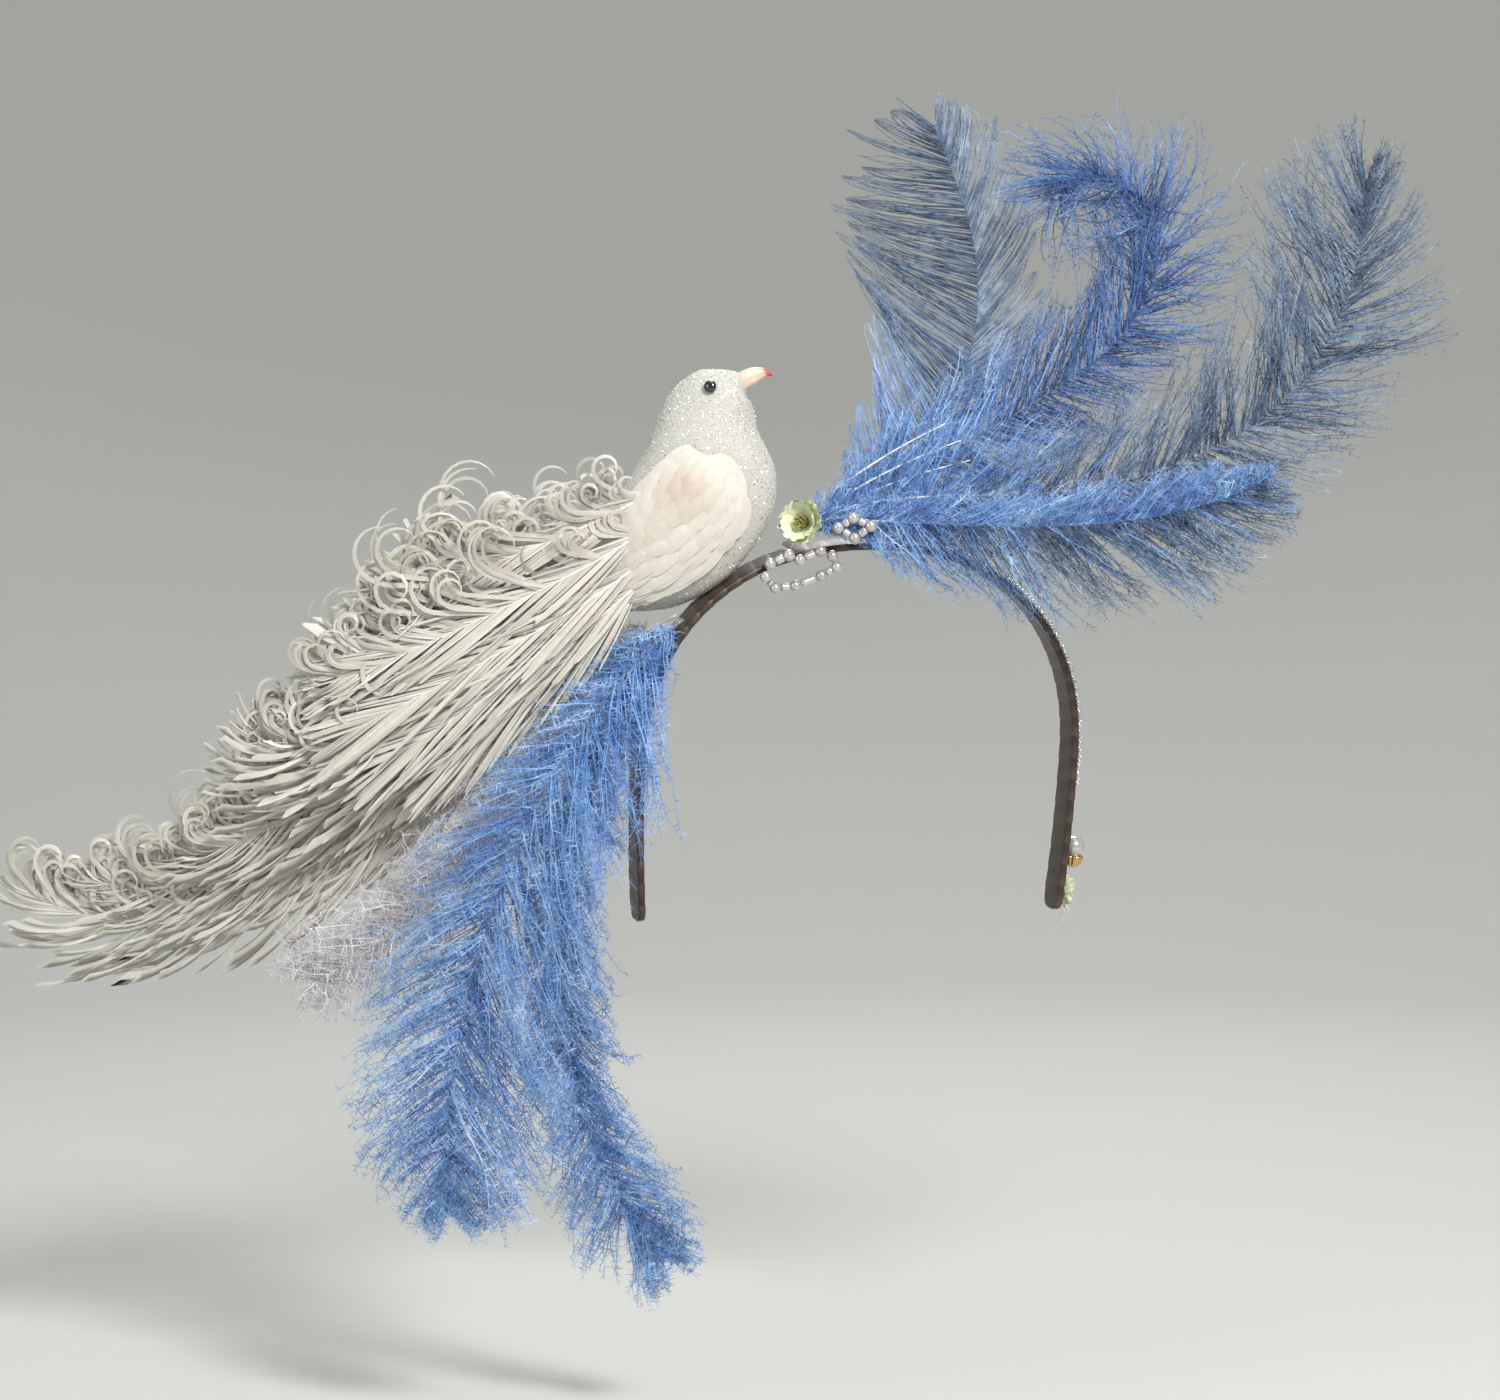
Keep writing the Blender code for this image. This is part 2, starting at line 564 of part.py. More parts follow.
def make_feather(name, colour, root, length, bends, bare, locks, sides, quill, swell, thickest):
    """A shaft with locks of barbs grown from its two side faces. Each entry of sides holds the table of
    reaches along the barbed length, then the sweep, the curl and the marks along a lock."""
    places = [0.0, bare * 0.5, *np.linspace(bare, 0.97, locks + 1), 1.0]
    stations = way(root, length, bends, places)
    solid = Solid()
    rings = []
    for place, (point, _, left, face) in zip(places, stations):
        half = quill / 2 * (1 - 0.55 * place)
        corner = half * 0.62
        rings.append(solid.ring([
            point + left * half + face * corner, point + left * half - face * corner, point - face * half,
            point - left * half - face * corner, point - left * half + face * corner, point + face * half,
        ]))
    solid.cap(rings[0])
    solid.cap(rings[-1])
    for index, (one, other) in enumerate(zip(rings, rings[1:])):
        for i in range(6):
            j = (i + 1) % 6
            lock = index - 2
            if i not in (0, 3) or not 0 <= lock < locks:
                solid.faces.append((one[i], one[j], other[j], other[i]))
                continue
            side = 1 if i == 0 else -1
            reaches, sweep, curl, marks = sides[side]
            hooked = abs(curl) > 90
            ends = []
            for k in (index, index + 1):
                share = (places[k] - bare) / (1 - bare)
                reach = table_value(reaches, share) * (1 + 0.07 * math.sin(2.4 * lock + side))
                barb = barb_line(stations[k], side, reach, sweep, curl, LOCK_DROOP, marks)
                ends.append([(stations[k][0] + step, ahead) for step, ahead in barb])
            face_mid = unit(stations[index][3] + stations[index + 1][3])
            # Which ring points start the lock: the face's upper and lower corners at both stations
            upper, lower = (i, j) if side == 1 else (j, i)
            sections = []
            thick = min(thickest, quill + swell * places[index] * length)
            for m, mark in enumerate(marks):
                (first, ahead), (second, ahead_too) = ends[0][m], ends[1][m]
                if hooked:
                    across = side * np.cross(unit(ahead + ahead_too), face_mid)
                    across = across * HOOK_HALF * (1 - HOOK_TAPER * mark)
                    near, far = (first + second) / 2 - across, (first + second) / 2 + across
                else:
                    narrow = 0.04 + 0.05 * mark if mark < 1 else 0.36
                    near = first * (1 - narrow) + second * narrow
                    far = first * narrow + second * (1 - narrow)
                depth = face_mid * thick / 2 * math.sin(math.pi * min(0.25 + 0.75 * mark, 0.93)) ** 0.7
                sections.append([near + depth, near - depth, far - depth, far + depth])
            solid.grow([one[upper], one[lower], other[lower], other[upper]], sections)
    return solid.build(name, colour)


def plume_root(seat, offset):
    """Where a plume's quill starts on the band's outer face; the offset counts pitches to the front."""
    share, pitch = {"top": (TOP_SEAT, TOP_PITCH), "hang": (HANG_SEAT, HANG_PITCH)}[seat]
    return band_point(share, BAND_THICK + SEAT_GAP + PLUME_QUILL / 2, offset * pitch)


def make_plumes():
    for row in PLUMES:
        (name, seat, offset, bends, length, left, left_sweep, left_outline, right, right_sweep, right_outline,
         thick, locks, bare, colour) = row
        size = {"top": TOP_PLUME_LENGTH, "hang": HANG_PLUME_LENGTH}[seat]
        root = plume_root(seat, offset)
        sides = {
            1: (reach_table(left * size, PLUME_OUTLINES[left_outline]), left_sweep,
                PLUME_CURL, PLUME_MARKS),
            -1: (reach_table(right * size, PLUME_OUTLINES[right_outline]), right_sweep,
                 PLUME_CURL, PLUME_MARKS),
        }
        make_feather(name, colour, root, length * size, bends, bare, locks, sides, PLUME_QUILL, PLUME_SWELL,
                     thick * size)


def make_curled_feathers():
    centre, tailward, down = rump_axes()
    count = len(CURLED_FEATHERS)
    for index, (length, curled, plain, locks, bare) in enumerate(CURLED_FEATHERS):
        middle = index - (count - 1) / 2
        root = centre + tailward * SEAT_GAP + down * middle * CURL_SPREAD - TOWARD * middle * CURL_PITCH
        sides = {
            1: (reach_table(plain * TRAIN_LENGTH, CURL_OUTLINE), CURL_SWEEP, PLAIN_CURL, PLAIN_MARKS),
            -1: (reach_table(curled * TRAIN_LENGTH, CURL_OUTLINE), CURL_SWEEP, HOOK_CURL, HOOK_MARKS),
        }
        make_feather(f"curled_feather_{index + 1}", "curl", root, length * TRAIN_LENGTH, CURL_BENDS[index],
                     bare, locks, sides, CURL_QUILL, 0.0, CURL_QUILL)


def make_flower(name, colour, centre, facing, radius, depth, petals, hub):
    """Petals grown from every second face of a short round hub, cupped towards the facing side."""
    facing = unit(facing)
    one = unit(np.cross(UP, facing))
    other = np.cross(facing, one)
    sides = petals * 2
    solid = Solid()
    low = solid.ring(circle(centre, one, other, hub, sides))
    high = solid.ring(circle(centre + facing * PETAL_THICK * 1.5, one, other, hub, sides))
    solid.cap(low)
    solid.cap(high)
    # A petal's sections: share of the way out, share of the depth, share of the petal's half width
    shape = ((0.25, 0.10, 0.55), (0.55, 0.35, 0.95), (0.85, 0.75, 0.85), (1.0, 1.0, 0.30))
    wide = radius * math.sin(math.pi / petals) * 0.84
    for i in range(sides):
        j = (i + 1) % sides
        if i % 2:
            solid.faces.append((low[i], low[j], high[j], high[i]))
            continue
        middle = (i + 0.5) * 2 * math.pi / sides
        out = math.cos(middle) * one + math.sin(middle) * other
        across = -math.sin(middle) * one + math.cos(middle) * other
        sections = []
        for far, rise, half in shape:
            at = centre + out * (hub + (radius - hub) * far) + facing * depth * rise
            span = across * wide * half
            thick = facing * PETAL_THICK
            sections.append([at - span, at + span, at + span + thick, at - span + thick])
        solid.grow([low[i], low[j], high[j], high[i]], sections)
    solid.build(name, colour)
    return centre + facing * (PETAL_THICK * 1.5 + SEAT_GAP)


def front_quill(place):
    """A point just clear of the front plume's quill, at a share of the plume's length."""
    (point, _, _, _), = way(plume_root("top", FRONT_PLUME_OFFSET), FRONT_PLUME_LENGTH, TOP_BENDS[3], [place])
    return point + TOWARD * (PLUME_QUILL / 2 + SEAT_GAP)


def make_front_flower():
    """The flower stands in front of the upright plumes' quills, with its hub against the nearest one."""
    back = front_quill(FLOWER_PLACE) + UP * FLOWER_RISE
    seat = make_flower("flower_petals", "petal", back, TOWARD, FLOWER_RADIUS, FLOWER_DEPTH, FLOWER_PETALS,
                       FLOWER_HUB)
    solid = Solid()
    profile = [
        (0, FLOWER_CENTRE_RADIUS * 0.62), (FLOWER_CENTRE_DEPTH * 0.45, FLOWER_CENTRE_RADIUS * 0.66),
        (FLOWER_CENTRE_DEPTH * 0.8, FLOWER_CENTRE_RADIUS * 0.5),
        (FLOWER_CENTRE_DEPTH, FLOWER_CENTRE_RADIUS * 0.2),
    ]
    solid.tube(lathe(seat, TOWARD, profile, 10))
    solid.build("flower_centre", "stamen", smooth=True)


def pearl_string(name, centre, across, upward, length, height, places):
    """A closed string of pearls in one plane, with thread between them, as one solid."""
    facing = np.cross(across, upward)
    middles = [centre + across * along * length + upward * up * height for along, up in places]
    count = len(middles)
    rings = []
    for i, middle in enumerate(middles):
        run = unit(middles[(i + 1) % count] - middles[i - 1])
        beside = np.cross(facing, run)
        for along in PEARL_RINGS:
            radius = max(PEARL_RADIUS * math.sqrt(1 - along**2), THREAD_RADIUS)
            rings.append(circle(middle + run * along * PEARL_RADIUS, beside, facing, radius, PEARL_SIDES))
    solid = Solid()
    solid.tube(rings, closed=True)
    solid.build(name, "pearl", smooth=True)


def make_pearl_buckle():
    """It hangs on the band's front edge, in the band's own plane."""
    front = BAND_WIDTH / 2 + SEAT_GAP + PEARL_RADIUS
    centre = band_point(BUCKLE_SEAT, BAND_THICK / 2, front) + BAND_DOWN * BUCKLE_DROP
    pearl_string("pearl_buckle", centre, np.array([1.0, 0, 0]), -BAND_DOWN, BUCKLE_LENGTH, BUCKLE_HEIGHT,
                 BUCKLE_PEARLS)


def make_pearl_loop():
    """It lies against the quill of the front plume, in the fan's plane."""
    centre = front_quill(LOOP_PLACE) + TOWARD * (SEAT_GAP + PEARL_RADIUS) - UP * LOOP_DROP
    pearl_string("pearl_loop", centre, SIDE, UP, LOOP_LENGTH, LOOP_HEIGHT, LOOP_PEARLS)


def make_side_drop():
    """A pearl, a gold cap and a small flower stacked down the outer face at the left end of the band."""
    point, outward, run = band_axes(SIDE_SEAT)
    face = point + outward * (BAND_THICK + SEAT_GAP)
    pearl = Solid()
    profile = ball_profile(SIDE_PEARL_RADIUS, SIDE_PEARL_RADIUS, 6)
    pearl.tube(lathe(face + outward * SIDE_PEARL_RADIUS, run, profile, 12))
    pearl.build("side_pearl", "pearl", smooth=True)
    cap_top = face + outward * SIDE_PEARL_RADIUS + run * (SIDE_PEARL_RADIUS + SEAT_GAP)
    cap = Solid()
    profile = [
        (0, SIDE_CAP_RADIUS * 0.75), (SIDE_CAP_HEIGHT * 0.3, SIDE_CAP_RADIUS),
        (SIDE_CAP_HEIGHT * 0.75, SIDE_CAP_RADIUS * 0.85), (SIDE_CAP_HEIGHT, SIDE_CAP_RADIUS * 0.45),
    ]
    cap.tube(lathe(cap_top, run, profile, 12))
    cap.build("side_pearl_cap", "gold", smooth=True)
    _, flower_out, _ = band_axes(SIDE_FLOWER_SEAT)
    flower = band_point(SIDE_FLOWER_SEAT, BAND_THICK + SEAT_GAP)
    make_flower("side_flower", "petal", flower, flower_out, SIDE_FLOWER_RADIUS, SIDE_FLOWER_DEPTH,
                SIDE_FLOWER_PETALS, SIDE_FLOWER_HUB)


clear_scene()
make_headband()
make_trim()
make_dove_body()
make_beak()
make_eyes()
make_wings()
make_curled_feathers()
make_plumes()
make_front_flower()
make_pearl_buckle()
make_pearl_loop()
make_side_drop()
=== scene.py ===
"""Looks of the feather headdress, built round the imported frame. Metres, +Z up, the wearer faces -Y.

Every piece repeats the paths of its solid: feathers are swept from the same bend tables, with their
barbs, barbules and curls as thin ribbons. Random draws are seeded piece by piece.
"""

import math

import bpy
import numpy as np
from mathutils import Matrix


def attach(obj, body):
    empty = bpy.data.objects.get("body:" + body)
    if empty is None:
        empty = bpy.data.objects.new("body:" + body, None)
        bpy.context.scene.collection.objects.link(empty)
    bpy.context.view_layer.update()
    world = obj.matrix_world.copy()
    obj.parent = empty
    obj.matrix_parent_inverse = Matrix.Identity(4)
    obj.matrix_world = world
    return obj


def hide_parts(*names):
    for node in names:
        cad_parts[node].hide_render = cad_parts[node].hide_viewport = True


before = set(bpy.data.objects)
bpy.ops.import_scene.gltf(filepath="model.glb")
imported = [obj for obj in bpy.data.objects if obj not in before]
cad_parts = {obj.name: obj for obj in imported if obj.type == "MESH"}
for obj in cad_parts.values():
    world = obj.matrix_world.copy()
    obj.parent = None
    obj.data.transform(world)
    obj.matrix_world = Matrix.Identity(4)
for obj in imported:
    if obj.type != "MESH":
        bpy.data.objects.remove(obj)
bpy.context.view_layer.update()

# Camera and stage
VIEW_TURN, VIEW_RISE = math.radians(-17), math.radians(2)
VIEW_DISTANCE = 1.2
VIEW_SPAN = 0.495  # width of what the camera sees, at the object
AIM_ACROSS, AIM_UP = -0.0389, -0.0502
SENSOR = 36.0
FLOOR_LEVEL = -0.285
ROOM_RADIUS, ROOM_BEND, ROOM_HEIGHT = 2.0, 0.8, 2.6
WORLD_COLOUR = (0.80, 0.82, 0.85, 1.0)
WORLD_STRENGTH = 0.34

# The solids' own sizes
SEAT_GAP = 0.0003
BAND_HALF, BAND_RISE, BAND_ARM, BAND_TUCK = 0.0745, 0.070, 0.054, 0.0025
BAND_WIDTH, BAND_THICK = 0.012, 0.0026
BAND_LEAN = math.radians(9)
BAND_POWER = 2.2
ARCH_SHARE = 0.72
FAN_TURN = math.radians(-17)
DOVE_LENGTH, DOVE_HEIGHT, DOVE_WIDTH = 0.0686, 0.0795, 0.030
DOVE_SEAT, DOVE_SEAT_ROW = -0.297, 9
BEAK_LENGTH, BEAK_HEIGHT, BEAK_WIDTH = 0.0105, 0.0064, 0.0052
EYE_RADIUS, EYE_DEPTH = 0.0021, 0.0011
EYE_ROW, EYE_ANGLE = 2.3, math.radians(113)
WING_THICK, WING_TAIL = 0.0022, 0.020
CURL_QUILL, CURL_PITCH, CURL_SPREAD = 0.0014, 0.0020, 0.0011
PLUME_QUILL = 0.0020
TOP_SEAT, TOP_PITCH = -0.153, 0.0028
HANG_SEAT, HANG_PITCH = -0.420, 0.0036
FRONT_PLUME_LENGTH = 0.159
FLOWER_PLACE, FLOWER_RISE = 0.05, 0.0022
PEARL_RADIUS = 0.00185
BUCKLE_LENGTH, BUCKLE_HEIGHT, BUCKLE_SEAT, BUCKLE_DROP = 0.0242, 0.0122, -0.140, 0.0035
LOOP_LENGTH, LOOP_HEIGHT, LOOP_PLACE, LOOP_DROP = 0.0106, 0.0066, 0.147, 0.0030
TRIM_START, TRIM_END, TRIM_FRONT = 0.09, 0.78, 0.0030
BEAD_RADIUS, BEAD_DEPTH = 0.00088, 0.00070
SIDE_SEAT, SIDE_PEARL_RADIUS = 0.889, 0.00365
SIDE_CAP_RADIUS, SIDE_CAP_HEIGHT = 0.0033, 0.0042
SIDE_FLOWER_SEAT, SIDE_FLOWER_RADIUS = 0.968, 0.0062

# How much fine detail there is
RIBBON_TURNS = 52
BARB_STEPS = 9
FIBRE_HALF = 0.00008
HOOK_CURL, HOOK_SPREAD = -150, 40  # degrees
DOVE_FLAKES, WING_FLAKES = 6500, 1500

DOVE_ROWS = (
    # back along, back up, breast along, breast up, width
    (0.793, 0.992, 0.851, 0.896, 0.28),
    (0.716, 1.000, 0.889, 0.842, 0.60),
    (0.625, 0.992, 0.899, 0.793, 0.74),
    (0.538, 0.942, 0.913, 0.743, 0.79),
    (0.471, 0.867, 0.947, 0.685, 0.82),
    (0.423, 0.768, 0.986, 0.610, 0.88),
    (0.370, 0.656, 1.000, 0.523, 0.95),
    (0.303, 0.556, 0.976, 0.407, 1.00),
    (0.236, 0.465, 0.889, 0.270, 0.98),
    (0.168, 0.382, 0.755, 0.137, 0.90),
    (0.120, 0.303, 0.563, 0.041, 0.74),
    (0.072, 0.232, 0.370, 0.008, 0.55),
    (0.034, 0.183, 0.188, 0.025, 0.42),
)
BEAK_ROWS = (
    # along, drop, height, width
    (0.00, 0.00, 1.00, 1.00),
    (0.45, 0.00, 0.86, 0.80),
    (0.80, 0.10, 0.55, 0.50),
    (1.00, 0.38, 0.22, 0.24),
)
WING_ROWS = (
    # row, half angle, tail, thickness
    (5.5, 12, 0.0, 0.60),
    (6, 26, 0.0, 0.90),
    (7, 40, 0.0, 1.00),
    (8, 43, 0.0, 1.00),
    (9, 42, 0.0, 1.00),
    (10, 41, 0.0, 1.00),
    (11, 40, 0.0, 0.90),
    (12, 38, 0.0, 0.85),
    (12, 26, 0.6, 0.70),
    (12, 10, 1.0, 0.55),
)
# Share of the length, heading in the fan's plane, lean to the front, turn of the face
CURL_BENDS = (
    ((0, 206, 0, 0), (0.12, 170, 0, 0), (0.3, 152, 2, 0), (0.55, 186, 7, 0), (0.78, 215, 8, 0),
     (1, 232, 8, 0)),
    ((0, 206, 0, 0), (0.15, 186, 2, 0), (0.5, 201, 4, 0), (1, 212, 4, 0)),
    ((0, 208, 0, 0), (0.5, 215, 1, 0), (1, 214, 1, 0)),
    ((0, 224, -3, 0), (0.35, 222, -3, 0), (0.6, 208, -2, 0), (0.8, 178, -1, 0), (1, 120, 0, 0)),
    ((0, 224, -6, 0), (0.4, 219, -6, 0), (0.7, 209, -5, 0), (1, 201, -4, 0)),
    ((0, 230, -5, 0), (0.12, 230, -6, 0), (0.3, 225, -10, 0), (0.55, 211, -8, 0), (0.8, 190, -7, 0),
     (1, 150, -6, 0)),
)
HANG_BENDS = (
    ((0, 218, 9, 15), (0.12, 229, 12, 28), (0.3, 240, 10, 34), (0.5, 249, 5, 28), (0.8, 262, 0, 16),
     (1, 276, 0, 8)),
    ((0, 228, 3, 8), (0.15, 243, 4, 20), (0.35, 256, 4, 25), (0.55, 273, 2, 20), (0.8, 289, 0, 10),
     (1, 314, 0, 5)),
    ((0, 202, -1, 0), (0.1, 217, -1, 0), (0.25, 230, -1, 0), (0.55, 238, -1, 0), (0.8, 224, -1, 0),
     (1, 204, -1, 0)),
)
TOP_BENDS = (
    ((0, 47, -12, 0), (0.08, 38, -12, 0), (0.2, 31, -11, 0), (0.42, 55, -9, -8), (0.55, 76, -8, -12),
     (0.7, 94, -6, -12), (0.82, 107, -4, -10), (1, 114, -2, -8)),
    ((0, 40, -4, 0), (0.1, 29, -4, 0), (0.25, 27, -4, 0), (0.43, 31, -3, 0), (0.55, 37, -2, 0),
     (0.64, 52, 0, 0), (0.73, 78, 3, 0), (0.8, 104, 6, 0), (0.87, 142, 8, 0), (0.94, 182, 9, 0),
     (1, 215, 9, 0)),
    ((0, 46, 4, 0), (0.06, 31, 4, 0), (0.13, 7, 4, 0), (0.28, -1, 4, 0), (0.4, 8, 4, 0), (0.58, 27, 3, 0),
     (0.69, 43, 2, 0), (0.76, 57, 1, 0), (0.84, 71, 0, 0), (0.92, 83, 0, 0), (1, 86, 0, 0)),
    ((0, 56, 3, 0), (0.05, 46, 3, 0), (0.09, 15, 3, 0), (0.13, -5, 4, 4), (0.2, -3, 12, 8),
     (0.45, -2, 10, 12), (0.7, 6, 8, 12), (0.85, 15, 6, 8), (1, 26, 4, 0)),
)
CURL_OUTLINE = ((0, 0.7), (0.3, 1.0), (0.8, 0.9), (1, 0.55))
CURLED_FEATHERS = (
    # length, curled side reach, plain side reach, bare share
    (0.058, 0.034, 0.022, 0.10),
    (0.086, 0.038, 0.030, 0.08),
    (0.097, 0.038, 0.034, 0.10),
    (0.134, 0.034, 0.030, 0.16),
    (0.154, 0.038, 0.038, 0.14),
    (0.236, 0.038, 0.042, 0.14),
)
# Feathers that fill the train between the six: two neighbours, share between them, length, place in depth
FILL_FEATHERS = (
    (2, 3, 0.45, 0.112, 0.3), (3, 4, 0.4, 0.135, 0.5), (4, 5, 0.3, 0.168, 0.4), (4, 5, 0.65, 0.205, 0.7),
)
FILL_SHAPE = (0.034, 0.038, 0.12)  # their curled side reach, plain side reach and bare share
# Long smooth feathers from the wings over the start of the train: place along the wing, across it,
# heading, length, reach
COVER_FEATHERS = (
    (0.36, 0.75, 203, 0.098, 0.026), (0.50, 0.35, 207, 0.112, 0.030), (0.60, -0.05, 211, 0.112, 0.030),
    (0.66, -0.40, 216, 0.104, 0.030), (0.72, -0.75, 222, 0.088, 0.028), (0.78, 0.70, 199, 0.080, 0.026),
    (0.86, 0.10, 209, 0.094, 0.028),
)
PLUME_OUTLINES = {
    "early": ((0, 0.75), (0.2, 0.95), (0.5, 1.0), (0.7, 0.95), (0.88, 0.6), (1, 0.35)),
    "late": ((0, 0.40), (0.2, 0.55), (0.45, 0.95), (0.7, 1.0), (0.88, 0.7), (1, 0.4)),
    "broad": ((0, 0.45), (0.15, 0.72), (0.4, 1.0), (0.7, 0.96), (0.9, 0.74), (1, 0.5)),
    "head": ((0, 0.5), (0.2, 0.7), (0.5, 0.78), (0.75, 1.0), (0.9, 0.95), (1, 0.7)),
    "slim": ((0, 0.4), (0.2, 0.7), (0.5, 0.8), (0.8, 0.9), (0.92, 1.0), (1, 0.75)),
    "inner": ((0, 0.5), (0.25, 0.85), (0.55, 1.0), (0.75, 0.85), (0.9, 0.70), (1, 0.75)),
}
PLUMES = (
    # name, seat, offset, bends, length,
    # left reach, left sweep, left outline, right reach, right sweep, right outline, bare share,
    # colour, barbs a side, fibres a barb, fibre length, spread out of plane, clump, tip curl
    ("hanging_plume_1", "hang", 1.05, HANG_BENDS[0], 0.213,
     0.060, 44, "early", 0.048, 42, "late", 0.02,
     "blue_plume", 430, 31, 0.0049, 0.24, 0.40, 30),
    ("hanging_plume_2", "hang", 0.0, HANG_BENDS[1], 0.226,
     0.030, 48, "slim", 0.033, 48, "slim", 0.05,
     "blue_plume", 420, 27, 0.0047, 0.24, 0.40, 25),
    ("white_plume", "hang", -1.05, HANG_BENDS[2], 0.172,
     0.026, 45, "slim", 0.032, 45, "slim", 0.06,
     "white_plume", 270, 22, 0.0062, 0.34, 0.35, 60),
    ("top_plume_1", "top", -1.5, TOP_BENDS[0], 0.172,
     0.050, 24, "broad", 0.036, 56, "broad", 0.16,
     "steel_plume", 400, 30, 0.0010, 0.05, 0.92, 6),
    ("top_plume_2", "top", -0.5, TOP_BENDS[1], 0.212,
     0.044, 46, "inner", 0.037, 40, "head", 0.05,
     "deep_plume", 420, 24, 0.0039, 0.26, 0.50, 22),
    ("top_plume_3", "top", 0.5, TOP_BENDS[2], 0.250,
     0.048, 38, "head", 0.038, 45, "head", 0.06,
     "steel_plume", 450, 24, 0.0039, 0.26, 0.50, 24),
    ("top_plume_4", "top", 1.5, TOP_BENDS[3], FRONT_PLUME_LENGTH,
     0.022, 50, "broad", 0.040, 40, "broad", 0.07,
     "blue_plume", 400, 25, 0.0039, 0.26, 0.50, 24),
)
BUCKLE_PEARLS = (
    (-0.500, -0.27), (-0.443, 0.08), (-0.186, 0.32), (-0.029, 0.19), (0.257, 0.43),
    (0.429, 0.30), (0.500, 0.00), (0.286, -0.24), (-0.071, -0.51), (-0.357, -0.57),
)
LOOP_PEARLS = ((-0.36, 0.02), (0.10, 0.50), (0.64, 0.10), (0.14, -0.50))

SIDE = np.array([math.cos(FAN_TURN), math.sin(FAN_TURN), 0.0])
UP = np.array([0.0, 0.0, 1.0])
TOWARD = np.array([math.sin(FAN_TURN), -math.cos(FAN_TURN), 0.0])
BAND_FRONT = np.array([0.0, -math.cos(BAND_LEAN), -math.sin(BAND_LEAN)])
BAND_DOWN = np.array([0.0, math.sin(BAND_LEAN), -math.cos(BAND_LEAN)])


# Materials

FINISHES = {}


class Finish:
    """A procedural material: a colour ramp driven by the mesh's shade values and two textures."""

    def __init__(self, name):
        self.material = FINISHES[name] = bpy.data.materials.new(name)
        self.material.use_nodes = True
        self.tree = self.material.node_tree
        self.shader = self.tree.nodes["Principled BSDF"]
        self.place = self.node("ShaderNodeTexCoord").outputs["Object"]

    def node(self, kind, settings=None, **inputs):
        made = self.tree.nodes.new(kind)
        for key, value in (settings or {}).items():
            setattr(made, key, value)
        for key, value in inputs.items():
            made.inputs[key].default_value = value
        return made

    def join(self, source, target):
        self.tree.links.new(source, target)

    def maths(self, operation, one, other):
        made = self.node("ShaderNodeMath", {"operation": operation})
        for index, value in enumerate((one, other)):
            if isinstance(value, (int, float)):
                made.inputs[index].default_value = value
            else:
                self.join(value, made.inputs[index])
        return made.outputs[0]

    def texture(self, kind, output, settings=None, place=None, **inputs):
        made = self.node(kind, settings, **inputs)
        self.join(self.place if place is None else place, made.inputs["Vector"])
        return made.outputs[output]

    def noise(self, scale, detail=3.0, place=None):
        return self.texture("ShaderNodeTexNoise", "Fac", None, place, Scale=scale, Detail=detail)

    def mixed(self, shade_weight, *textures):
        """The mesh's shade value and some (texture, weight) pairs, mixed round a half."""
        shade = self.node("ShaderNodeAttribute", {"attribute_name": "shade"}).outputs["Fac"]
        total, *parts = [
            self.maths("MULTIPLY", self.maths("SUBTRACT", source, 0.5), weight)
            for source, weight in ((shade, shade_weight), *textures)
        ]
        for part in (*parts, 0.5):
            total = self.maths("ADD", total, part)
        return total

    def ramp(self, factor, stops):
        made = self.node("ShaderNodeValToRGB")
        elements = made.color_ramp.elements
        while len(elements) < len(stops):
            elements.new(0.5)
        for element, (position, colour) in zip(elements, stops):
            element.position = position
            element.color = (*colour, 1.0)
        self.join(factor, made.inputs["Fac"])
        self.join(made.outputs["Color"], self.shader.inputs["Base Color"])

    def rough(self, factor, low, high):
        made = self.node("ShaderNodeMapRange", **{"To Min": low, "To Max": high})
        self.join(factor, made.inputs["Value"])
        self.join(made.outputs["Result"], self.shader.inputs["Roughness"])

    def bump(self, height, strength, distance):
        made = self.node("ShaderNodeBump", Strength=strength, Distance=distance)
        self.join(height, made.inputs["Height"])
        self.join(made.outputs["Normal"], self.shader.inputs["Normal"])

    def set(self, **values):
        for key, value in values.items():
            self.shader.inputs[key.replace("_", " ")].default_value = value


def grained_finish(name, stops, shade, coarse, fine, rough, bump, **values):
    """Colour from the shade value and two noises: coarse is a scale and a weight, fine a scale, a detail
    and a weight. rough is the range of roughness, and bump a strength and a height."""
    made = Finish(name)
    grain = made.noise(*fine[:2])
    made.ramp(made.mixed(shade, (made.noise(coarse[0]), coarse[1]), (grain, fine[2])), stops)
    made.rough(grain, *rough)
    made.bump(grain, *bump)
    made.set(**values)


def feather_finish(name, stops, sheen=0.35, rough=(0.55, 0.8), mottle=0.9):
    grained_finish(name, stops, 0.9, (130.0, mottle), (420.0, 2.0, mottle * 0.8), rough, (0.15, 0.0001),
                   Sheen_Weight=sheen, Sheen_Roughness=0.4, Specular_IOR_Level=0.35)


def shaft_finish(name, dark, pale):
    grained_finish(name, ((0.0, dark), (1.0, pale)), 1.0, (120.0, 0.15), (1500.0, 2.0, 0.1), (0.25, 0.4),
                   (0.1, 0.00005), Coat_Weight=0.15)


def gloss_finish(name, stops, rough, metallic, coat, scale=400.0):
    grained_finish(name, stops, 0.8, (scale / 4, 0.3), (scale, 2.0, 0.25), rough, (0.05, 0.00004),
                   Metallic=metallic, Coat_Weight=coat, Coat_Roughness=0.06)


